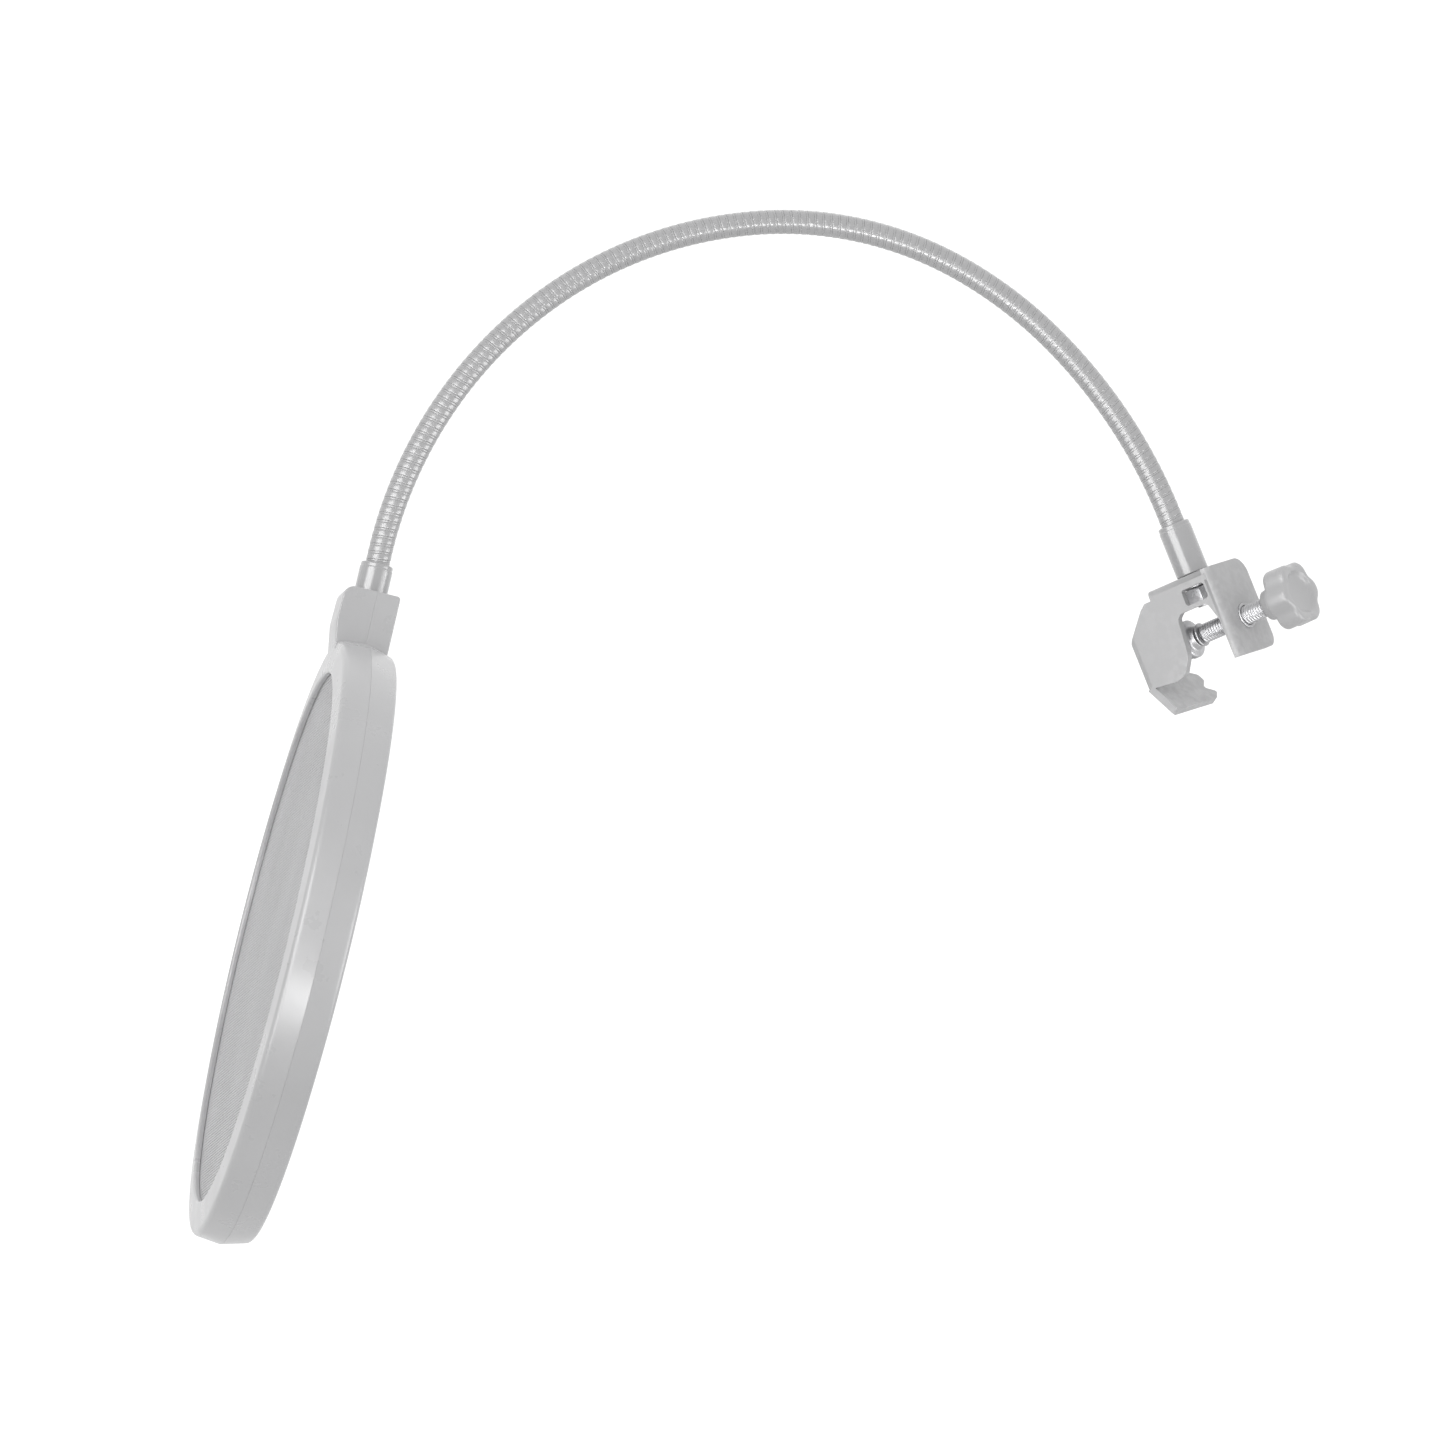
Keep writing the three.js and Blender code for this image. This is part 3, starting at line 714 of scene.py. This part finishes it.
def add_screen(side, name, node, material):
    """A thin disc of net, held flat in the groove of its shell, a little slack between the pulls."""
    rings, sides = 28, 120
    middle = side * (HALF_DEPTH - FLANGE - SCREEN_THICKNESS / 2)
    points, faces = [], []
    for face in (1, -1):
        base = len(points)
        points.append((0, 0, middle + face * SCREEN_THICKNESS / 2))
        for i in range(1, rings + 1):
            radius = SCREEN_RADIUS * i / rings
            for k in range(sides):
                angle = 2 * math.pi * k / sides
                share = radius / SCREEN_RADIUS
                slack = -side * SCREEN_SLACK * (1 + 0.4 * math.sin(3 * angle + 1)) * (share - share ** 5)
                points.append((radius * math.cos(angle), radius * math.sin(angle),
                               middle + slack + face * SCREEN_THICKNESS / 2))
        for k in range(sides):
            n = (k + 1) % sides
            faces.append((base, base + 1 + k, base + 1 + n)[::face])
            for i in range(rings - 1):
                a = base + 1 + i * sides
                faces.append((a + k, a + sides + k, a + sides + n, a + n)[::face])
    top = 1 + (rings - 1) * sides
    under = top + 1 + rings * sides
    for k in range(sides):
        n = (k + 1) % sides
        faces.append((top + k, under + k, under + n, top + n))
    piece = new_piece(name, points, faces, HOOP, 60)
    layer = piece.data.uv_layers.new(name="net")
    inverse = HOOP.inverted()
    for loop in piece.data.loops:
        local = inverse @ piece.data.vertices[loop.vertex_index].co
        layer.data[loop.index].uv = (local.x * MM, local.y * MM)
    finish_piece(piece, "hoop", "nylon", material, replaces=[node])


# ---------- gooseneck ----------
class Path:
    """The neck's centreline: a straight lead, arcs from pivot to pivot, and a straight tail."""

    STEP = 0.2 * MM

    def __init__(self):
        seat = CLAMP @ Vector(SEAT)
        end = HOOP @ Vector((BOSS_TOP, 0, BORE_OFFSET))
        hinges = [j["pos_m"] for j in frame["joints"] if j["name"].startswith("neck_")]
        lead = seat + CLAMP_Z * CLAMP_LEAD * MM
        tail = end + HOOP_UP * HOOP_TAIL * MM
        stops = [lead] + [Vector(p) for p in hinges] + [tail]
        points, ways, lengths = [seat, lead], [CLAMP_Z, CLAMP_Z], [0, CLAMP_LEAD * MM]
        self.stations = [lengths[-1]]
        for start, stop in zip(stops, stops[1:]):
            way = ways[-1]
            chord = stop - start
            half = way.angle(chord)
            arc = chord.length * half / math.sin(half)
            side = -(way.cross(chord)).normalized()
            steps = max(8, int(arc / self.STEP))
            radius = arc / (2 * half)
            hub_way = side.cross(way)
            for i in range(1, steps + 1):
                angle = 2 * half * i / steps
                points.append(start + way * radius * math.sin(angle)
                              - hub_way * radius * (1 - math.cos(angle)))
                ways.append((way * math.cos(angle) - hub_way * math.sin(angle)).normalized())
                lengths.append(lengths[-1] + arc / steps)
            self.stations.append(lengths[-1])
        points.append(end)
        ways.append(ways[-1])
        lengths.append(lengths[-1] + HOOP_TAIL * MM)
        self.lengths = np.array(lengths)
        self.points = np.array(points)
        self.ways = np.array(ways)
        self.length = lengths[-1]

    def at(self, s):
        """Points, directions and in-plane normals at lengths s."""
        point = np.stack([np.interp(s, self.lengths, self.points[:, i]) for i in range(3)], -1)
        way = np.stack([np.interp(s, self.lengths, self.ways[:, i]) for i in range(3)], -1)
        way /= np.linalg.norm(way, axis=-1, keepdims=True)
        normal = np.cross(np.array(HOOP_SIDE), way)
        return point, normal


WIRE_SIDES = 28             # steps round the neck in one turn of the wire
WIRE_CREST = 3.13
WIRE_RELIEF = 0.09          # how far the crest stands proud of its own flanks
WIRE_HALF = 0.72


def wire_section():
    """(radius, along) points of the round wire, whose crests show as a row of beads."""
    crest = [(WIRE_CREST - WIRE_RELIEF * (1 - math.sin(t)), -WIRE_HALF * math.cos(t))
             for t in np.linspace(0, math.pi, 11)]
    return crest + [(2.2, 0.55), (2.2, -0.55)]


def filler_section():
    """The three-sided wire that fills the groove between the turns of the round wire."""
    middle, half = WIRE_PITCH / 2, WIRE_PITCH / 2 - WIRE_HALF - 0.02
    return [(2.96, middle - half), (3.02, middle - 0.9 * half), (3.045, middle - 0.5 * half), (3.05, middle),
            (3.045, middle + 0.5 * half), (3.02, middle + 0.9 * half), (2.96, middle + half),
            (2.4, middle + 0.12), (2.4, middle - 0.12)]


def wound(path, section, start, end):
    """Points and faces of a wire wound on the path between two lengths, closed at both ends."""
    pitch = WIRE_PITCH * MM
    first, last = start / pitch * math.tau, end / pitch * math.tau
    steps = max(2, round((last - first) / math.tau * WIRE_SIDES))
    angles = np.linspace(first, last, steps + 1)
    rows = []
    for radius, along in section:
        point, normal = path.at(angles / math.tau * pitch + along * MM)
        side = np.array(HOOP_SIDE)
        ring = normal * np.cos(angles)[:, None] + side * np.sin(angles)[:, None]
        rows.append(point + ring * radius * MM)
    return np.stack(rows, 1).reshape(-1, 3), tube_faces(steps + 1, len(section))


def neck_stretch(name, path, start, end, nodes):
    """The wire and its filler between two lengths of the path, as one piece."""
    points, faces = wound(path, wire_section(), start, end)
    wire = len(faces)
    more, extra = wound(path, filler_section(), start, end)
    faces += [tuple(i + len(points) for i in face) for face in extra]
    points = np.concatenate([points, more])
    mesh = bpy.data.meshes.new(name)
    mesh.from_pydata(points.tolist(), [], faces)
    piece = bpy.data.objects.new(name, mesh)
    bpy.context.scene.collection.objects.link(piece)
    smooth(piece, 50)
    finish_piece(piece, None, "neck_metal", WIRE, FILLER, replaces=nodes)
    for i, face in enumerate(mesh.polygons):
        face.material_index = 0 if i < wire else 1
    face_out(piece)
    return piece


def add_neck(path):
    """One stretch of neck for each hinge, from mid-link to mid-link, out to the ferrules at both ends; each
    stays fixed where it is built.
    """
    chain = ["clamp"] + [f"neck_{k:02d}" for k in range(2, 10)] + ["hoop"]
    middles = [(a + b) / 2 for a, b in zip(path.stations, path.stations[1:])]
    inset = (FERRULE_BASE + 1.2) * MM
    last = len(chain) - 2
    for k in range(last + 1):
        start = inset if k == 0 else middles[k]
        end = path.length - inset if k == last else middles[k + 1]
        nodes = [f"neck_link_{k + 1:02d}"] + (["neck_link_10"] if k == last else [])
        piece = neck_stretch(f"gooseneck_{k + 1:02d}", path, start, end, nodes)
        hinge, _ = path.at(np.array([middles[k], middles[k + 1]]))
        ends = [(chain[k], hinge[0]), (chain[k + 1], hinge[1])]
        if k == last:       # the ends are listed from the hoop's side; nothing reads them afterwards
            ends.reverse()
        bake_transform(piece)


def add_ferrules():
    seat = CLAMP @ Matrix.Translation(SEAT) @ X_TO_Z
    boss = HOOP @ Matrix.Translation((BOSS_TOP, 0, BORE_OFFSET))
    for name, length, foot, body in (("clamp_sleeve", CLAMP_FERRULE, seat, "clamp"),
                                      ("hoop_sleeve", HOOP_FERRULE, boss, "hoop")):
        corners = [
            (2.9, 0.0, 0.1), (FERRULE_RADIUS, 0.0, 0.35), (FERRULE_RADIUS, length - 1.3, 0.3),
            (FERRULE_RADIUS - 0.12, length - 1.1, 0.1), (FERRULE_RADIUS - 0.12, length, 0.45),
            (NECK_RADIUS + 0.12, length, 0.2), (NECK_RADIUS + 0.12, FERRULE_BASE, 0.1),
            (2.9, FERRULE_BASE, 0.1),
        ]
        piece = turned(name, corners, foot, sides=64, closed=True, hold=0.15)
        node = "clamp_ferrule" if body == "clamp" else "hoop_ferrule"
        finish_piece(piece, body, "ferrule_paint", SLEEVE, replaces=[node])


# ---------- clamp ----------
SHEET = 2.0
JAW_HALF = 9.0              # half the depth of the jaws behind the web
SCREW_JAW = 26.4            # inner face of the threaded jaw
BRACKET_TOP = 14.9
BEND = 2.4                  # outer radius of the sheet's bends
INNER_BEND = 0.5
JAW_TOP = 3.6
JAW_BOTTOM = -7.3
SCREW_JAW_BOTTOM = -9.3
HOOK_LENGTH = 10.6
HOOK_ANGLE = math.radians(28.8)
HOOK_REACH = 13.5           # how far the hook tab stands out behind the web
STUD_HOLE = 2.8
SCREW_HOLE = 3.0
FAR = 12                    # outside the bracket in every direction


def channel():
    """Web and both jaws as one bent strip, cut to the web's outline and the screw jaw's round corners."""
    outer, back = SCREW_JAW + SHEET, JAW_HALF
    section = fillet([
        (-SHEET, back), (-SHEET, -back, BEND), (outer, -back, BEND), (outer, back),
        (SCREW_JAW, back), (SCREW_JAW, -back + SHEET, INNER_BEND), (0, -back + SHEET, INNER_BEND), (0, back),
    ], 10)
    body = prism("bracket", section, -FAR, BRACKET_TOP, LOCAL)
    shelf_bend, edge = BRACKET_TOP - BEND, SCREW_JAW - 0.5
    web = fillet([
        (outer + 1, BRACKET_TOP + 1), (edge, BRACKET_TOP + 1), (edge, shelf_bend), (7.0, shelf_bend, 0.6),
        (5.2, 11.2, 1.2), (-SHEET - 0.2, JAW_TOP - 0.2, 0.8), (-SHEET - 0.2, -7.9), (7.4, -9.0, 1.6),
        (10.6, -8.2, 2.0), (13.4, -4.2, 2.4), (14.5, 5.4, 1.4), (16.0, 6.5, 0.8), (24.2, 6.5, 1.6),
        (edge, 1.4, 0.5), (edge, -FAR), (outer + 1, -FAR),
    ], 12)
    cut(body, prism("web", web, -FAR, FAR, LOCAL, axes="xzy"), "INTERSECT")
    jaw = fillet([(-11, SCREW_JAW_BOTTOM), (back, SCREW_JAW_BOTTOM, 3.0), (back, BRACKET_TOP, 4.4),
                  (-11, BRACKET_TOP)], 9)
    jaw_side = 24.0
    keep = prism("jaw", jaw, jaw_side, jaw_side + 8, LOCAL, axes="yzx")
    rest = prism("rest", [(-FAR, -FAR), (FAR, -FAR), (FAR, 20), (-FAR, 20)],
                 -5, jaw_side + 0.01, LOCAL, axes="yzx")
    cut(keep, rest, "UNION")
    cut(body, keep, "INTERSECT")
    return body


def shelf():
    """The tab bent over at the web's top, which carries the neck's stud."""
    section = fillet([
        (-JAW_HALF, BRACKET_TOP - BEND - 0.5), (-JAW_HALF, BRACKET_TOP, BEND), (6.5, BRACKET_TOP),
        (6.5, BRACKET_TOP - SHEET), (-JAW_HALF + SHEET, BRACKET_TOP - SHEET, INNER_BEND),
        (-JAW_HALF + SHEET, BRACKET_TOP - BEND - 0.5),
    ], 10)
    return prism("shelf", section, 9.0, SCREW_JAW + 0.4, LOCAL, axes="yzx")


def hook():
    """The fixed jaw and the slanted tab below it, with the notch in the tab's free edge."""
    along = Vector((math.sin(HOOK_ANGLE), -math.cos(HOOK_ANGLE)))
    across = Vector((math.cos(HOOK_ANGLE), math.sin(HOOK_ANGLE))) * SHEET
    start = Vector((-SHEET, JAW_BOTTOM))
    inner = start + across
    inner_corner = inner + along * (-inner.x / along.x)
    section = fillet([
        (-SHEET, JAW_TOP), (*start, BEND), tuple(start + along * HOOK_LENGTH),
        tuple(inner + along * HOOK_LENGTH), (*inner_corner, INNER_BEND), (0, JAW_TOP),
    ], 8)
    body = prism("hook", section, -JAW_HALF, HOOK_REACH, LOCAL, axes="xzy")
    reach, end = HOOK_REACH, HOOK_LENGTH
    outline = fillet([
        (-JAW_HALF + BEND, -14), (JAW_HALF, -14), (JAW_HALF, -0.8, 0.8), (reach - 3.5, 0.2, 1.0),
        (reach, 2.2, 1.2), (reach, 4.4, 1.0), (reach - 3.2, 6.4, 0.7), (reach, 8.4, 1.0),
        (reach, end - 1.6, 1.0), (reach - 2.4, end + 0.05, 1.2), (-JAW_HALF, end + 0.05, 0.8),
        (-JAW_HALF, 1.2, 0.3), (-JAW_HALF + BEND, 0.6, 0.3),
    ], 12)
    turn = Matrix.Rotation(-HOOK_ANGLE, 4, "Y")
    down = Matrix.Translation((-SHEET, 0, JAW_BOTTOM)) @ turn @ Matrix.Scale(-1, 4, (0, 0, 1))
    cut(body, prism("tab", outline, -9, 14, down, axes="yzx"), "INTERSECT")
    return body


def add_bracket():
    bracket = channel()
    cut(bracket, hook(), "UNION")
    cut(bracket, shelf(), "UNION")
    window = fillet([(18.4, 7.6, 0.8), (25.4, 7.6, 0.8), (25.4, 11.8, 0.8), (18.4, 11.8, 0.8)], 12)
    cut(bracket, prism("window", window, -FAR, -5, LOCAL, axes="xzy"), "DIFFERENCE")
    hole(bracket, STUD_HOLE, FAR, Matrix.Translation((SEAT[0], 0, 10)) @ X_TO_Z)
    hole(bracket, SCREW_HOLE, FAR, Matrix.Translation((20, 0, 0)))
    soften(bracket, 0.3, 3)
    place(bracket, CLAMP, "clamp_sheet")
    finish_piece(bracket, "clamp", "clamp_paint", PAINT, replaces=["clamp_bracket"])


def add_bush():
    """Flanged threaded bush, riveted over on the jaw's outside."""
    inner = SCREW_JAW - 0.1
    corners = [
        (2.6, inner - 2.8, 0.2), (4.2, inner - 2.8, 0.3), (4.2, inner, 0.15), (2.95, inner),
        (2.95, SCREW_JAW + SHEET, 0.05), (3.5, SCREW_JAW + SHEET + 0.05, 0.15),
        (3.3, SCREW_JAW + SHEET + 0.45, 0.2), (2.6, SCREW_JAW + SHEET + 0.45, 0.15),
    ]
    bush = turned("screw_bush", corners, CLAMP, closed=True)
    finish_piece(bush, "clamp", "zinc", ZINC, replaces=["jaw_bush"])


SCREW_RADIUS = 2.5
SCREW_PITCH = 0.8
THREAD_DEPTH = 0.34
ROD_START, ROD_END = 14.8, 41.8
BALL = 12.4                 # centre of the swivel ball
BALL_NECK = 1.15
FOOT_FACE, FOOT_BACK = 9.7, 13.4
FOOT_RADIUS = 5.0
PAD_FACE, PAD_BACK = 7.95, 9.6
PAD_RADIUS = 4.7
CLIP_FACE, CLIP_BACK = 13.9, 14.5
KNOB_HUB = 35.6
KNOB_BACK = 39.4
KNOB_FACE = 46.4
KNOB_RADIUS = 8.5
KNOB_LOBES = 6
KNOB_DIP = 1.15             # how deep the hollows between the lobes are


def add_screw():
    rod = threaded("rod", CLAMP, ROD_START, ROD_END, SCREW_RADIUS, SCREW_PITCH, THREAD_DEPTH)
    ball = turned("ball", [
        (0, BALL - 1.6), (1.6, BALL - 1.6, 1.55), (1.6, BALL + 1.3, 1.0), (BALL_NECK, BALL + 1.5),
        (BALL_NECK, ROD_START + 0.4), (0, ROD_START + 0.4),
    ], CLAMP, step=10)
    piece = join("clamp_screw_threaded", [rod, ball])
    smooth(piece, 60)
    finish_piece(piece, "screw", "zinc", ZINC, replaces=["clamp_screw"])


def knob_surface():
    """(radius, along, lobe depth) rows of the knob, from the hub's back over the grip to the dished face."""
    rows = [(2.8, KNOB_HUB + 1.0, 0), (2.8, KNOB_HUB + 0.15, 0), (3.0, KNOB_HUB, 0), (3.7, KNOB_HUB, 0),
            (3.95, KNOB_HUB + 0.2, 0), (4.3, KNOB_BACK - 1.8, 0), (4.7, KNOB_BACK - 0.7, 0),
            (5.4, KNOB_BACK - 0.15, 0.1), (6.4, KNOB_BACK, 0.5)]
    rows += [(KNOB_RADIUS - 1.3 + 1.3 * math.sin(t), KNOB_BACK + 1.3 * (1 - math.cos(t)), KNOB_DIP)
             for t in np.linspace(0.15, math.pi / 2, 7)]
    rows += [(KNOB_RADIUS, KNOB_BACK + 2.6, KNOB_DIP), (KNOB_RADIUS - 0.05, KNOB_FACE - 2.4, KNOB_DIP)]
    rows += [(KNOB_RADIUS - 1.3 + 1.25 * math.cos(t), KNOB_FACE - 1.2 + 1.2 * math.sin(t), KNOB_DIP)
             for t in np.linspace(0.1, math.pi / 2, 7)]
    rows += [(6.3, KNOB_FACE - 0.08, 0.5), (5.8, KNOB_FACE - 0.25, 0.2), (5.4, KNOB_FACE - 0.62, 0)]
    rows += [(5.2 * math.sin(t), KNOB_FACE - 0.7 - 1.1 * (math.cos(t)), 0)
             for t in np.linspace(1.45, 0.12, 9)]
    return rows


def add_knob():
    sides, rows = 144, knob_surface()
    points = []
    for radius, along, lobe in rows:
        for k in range(sides):
            angle = 2 * math.pi * k / sides
            dip = (1 - math.cos(KNOB_LOBES * angle)) / 2
            r = radius - lobe * dip ** 1.4
            points.append((along, r * math.cos(angle), r * math.sin(angle)))
    knob = new_piece("knob", points, tube_faces(len(rows), sides), CLAMP, 50)
    finish_piece(knob, "screw", "knob_plastic", KNOB_PLASTIC, replaces=["clamp_knob"])


def add_foot():
    cup = turned("foot_plate", [
        (0, FOOT_FACE), (FOOT_RADIUS, FOOT_FACE, 0.35), (FOOT_RADIUS, FOOT_FACE + 1.7, 0.5),
        (3.3, FOOT_FACE + 2.2, 0.6), (2.85, FOOT_BACK, 0.3), (1.6, FOOT_BACK, 0.15),
        (1.85, BALL + 0.2, 0.4), (1.85, BALL - 0.6, 0.8), (0, BALL - 1.85),
    ], CLAMP, sides=64)
    finish_piece(cup, "foot", "zinc", ZINC, replaces=["foot_cup"])
    pad = turned("foot_rubber", [
        (0, PAD_FACE + 0.05), (1.4, PAD_FACE + 0.05, 0.1), (1.7, PAD_FACE + 0.3, 0.1),
        (2.4, PAD_FACE + 0.3, 0.1), (2.7, PAD_FACE, 0.15), (PAD_RADIUS, PAD_FACE, 0.5),
        (PAD_RADIUS, PAD_BACK, 0.1), (0, PAD_BACK),
    ], CLAMP, sides=64)
    finish_piece(pad, "foot", "rubber", RUBBER, replaces=["foot_pad"])
    clip = turned("retaining_clip", [
        (1.35, CLIP_FACE, 0.1), (3.1, CLIP_FACE, 0.25), (3.1, CLIP_BACK, 0.25), (1.35, CLIP_BACK, 0.1),
    ], CLAMP, closed=True)
    finish_piece(clip, "screw_end", "zinc", ZINC, replaces=["foot_clip"])


WASHER_TOP, WASHER_BOTTOM = -2.6, -3.5      # below the neck's seat
NUT_TOP, NUT_BOTTOM = -3.8, -7.8
NUT_FLATS = 8.0
NUT_FACING = 30             # degrees that the nut is turned, so that a flat shows in the window


def add_neck_fastening():
    """Stud, split lock washer and hex nut under the shelf."""
    seat = CLAMP @ Matrix.Translation(SEAT) @ X_TO_Z
    stud = threaded("neck_stud", seat, NUT_BOTTOM - 0.9, 2.9, SCREW_RADIUS, SCREW_PITCH, THREAD_DEPTH)
    finish_piece(stud, "clamp", "zinc", ZINC, replaces=["clamp_stud"])
    washer = turned("washer", [
        (2.7, WASHER_BOTTOM, 0.12), (4.4, WASHER_BOTTOM, 0.12), (4.4, WASHER_TOP, 0.12),
        (2.7, WASHER_TOP, 0.12),
    ], LOCAL, closed=True)
    slit = prism("slit", [(-4.2, -0.35), (-1.9, -0.1), (-1.9, 0.25), (-4.2, 0.0)], 2, 6, LOCAL)
    cut(washer, slit, "DIFFERENCE")
    place(washer, seat, "split_washer")
    finish_piece(washer, "clamp", "zinc", ZINC, replaces=["neck_lock_washer"])
    corner = NUT_FLATS / 2 / math.cos(math.pi / 6)
    facing = math.radians(NUT_FACING)
    hexagon = [(corner * math.cos(facing + math.pi * k / 3), corner * math.sin(facing + math.pi * k / 3))
               for k in range(6)]
    nut = prism("nut", hexagon, NUT_BOTTOM, NUT_TOP, LOCAL, axes="yzx")
    crown = turned("crown", [
        (0, NUT_BOTTOM), (3.9, NUT_BOTTOM), (corner + 0.05, NUT_BOTTOM + 0.55),
        (corner + 0.05, NUT_TOP - 0.55), (3.9, NUT_TOP), (0, NUT_TOP),
    ], LOCAL, sides=72)
    cut(nut, crown, "INTERSECT")
    hole(nut, SCREW_RADIUS + 0.1, 12, Matrix.Translation((-12, 0, 0)))
    soften(nut, 0.12, 2, angle=25)
    place(nut, seat, "hex_nut")
    # The nut's near-white zinc is painted light for its shaded place behind the window.
    finish_piece(nut, "clamp", "nut_zinc", NUT_ZINC_PAINTED_LIGHT, replaces=["neck_nut"])


def add_boss_fastening():
    """The cross-head screws that pull the boss's halves together."""
    for side, y in (("left", -SCREW_SPREAD), ("right", SCREW_SPREAD)):
        head = turned("screw", [(0, -6.0), (0.4, -6.0), (1.2, -5.0), (1.2, 3.2), (2.1, 3.2, 0.1),
                                (2.1, 3.9, 0.4), (1.3, 4.55, 0.9), (0, 4.6)], LOCAL, sides=40)
        for angle in (0, math.pi / 2):
            turn = Matrix.Rotation(angle, 4, "X")
            blade = [(-1.2, -0.22), (1.2, -0.22), (1.2, 0.22), (-1.2, 0.22)]
            slot = prism("slot", blade, 3.6, 6, turn, axes="yzx")
            cut(head, slot, "DIFFERENCE")
        smooth(head, 34)
        seat = HOOP @ Matrix.Translation((SCREW_UP, y, 0)) @ X_TO_Z.inverted()
        place(head, seat, "cross_screw_" + side)
        finish_piece(head, "hoop", "zinc", ZINC, replaces=["boss_screw_" + side])


def add_clamp():
    add_bracket()
    add_bush()
    add_screw()
    add_knob()
    add_foot()
    add_neck_fastening()


# ---------- CAD nodes that stay ----------
def dress_cad_nodes():
    """Gives the CAD nodes that still show their materials."""
    finishes = {"hoop_stud": ZINC, "boss_insert": BRASS, "screen_spacer": PLASTIC}
    for node, material in finishes.items():
        item = frame["nodes"][node]
        item.data.materials.clear()
        item.data.materials.append(material)


add_studio()
add_hoop()
add_screen(1, "front_net", "front_screen", FRONT_NET)
add_screen(-1, "rear_net", "rear_screen", REAR_NET)
add_neck(Path())
add_ferrules()
add_boss_fastening()
add_clamp()
dress_cad_nodes()
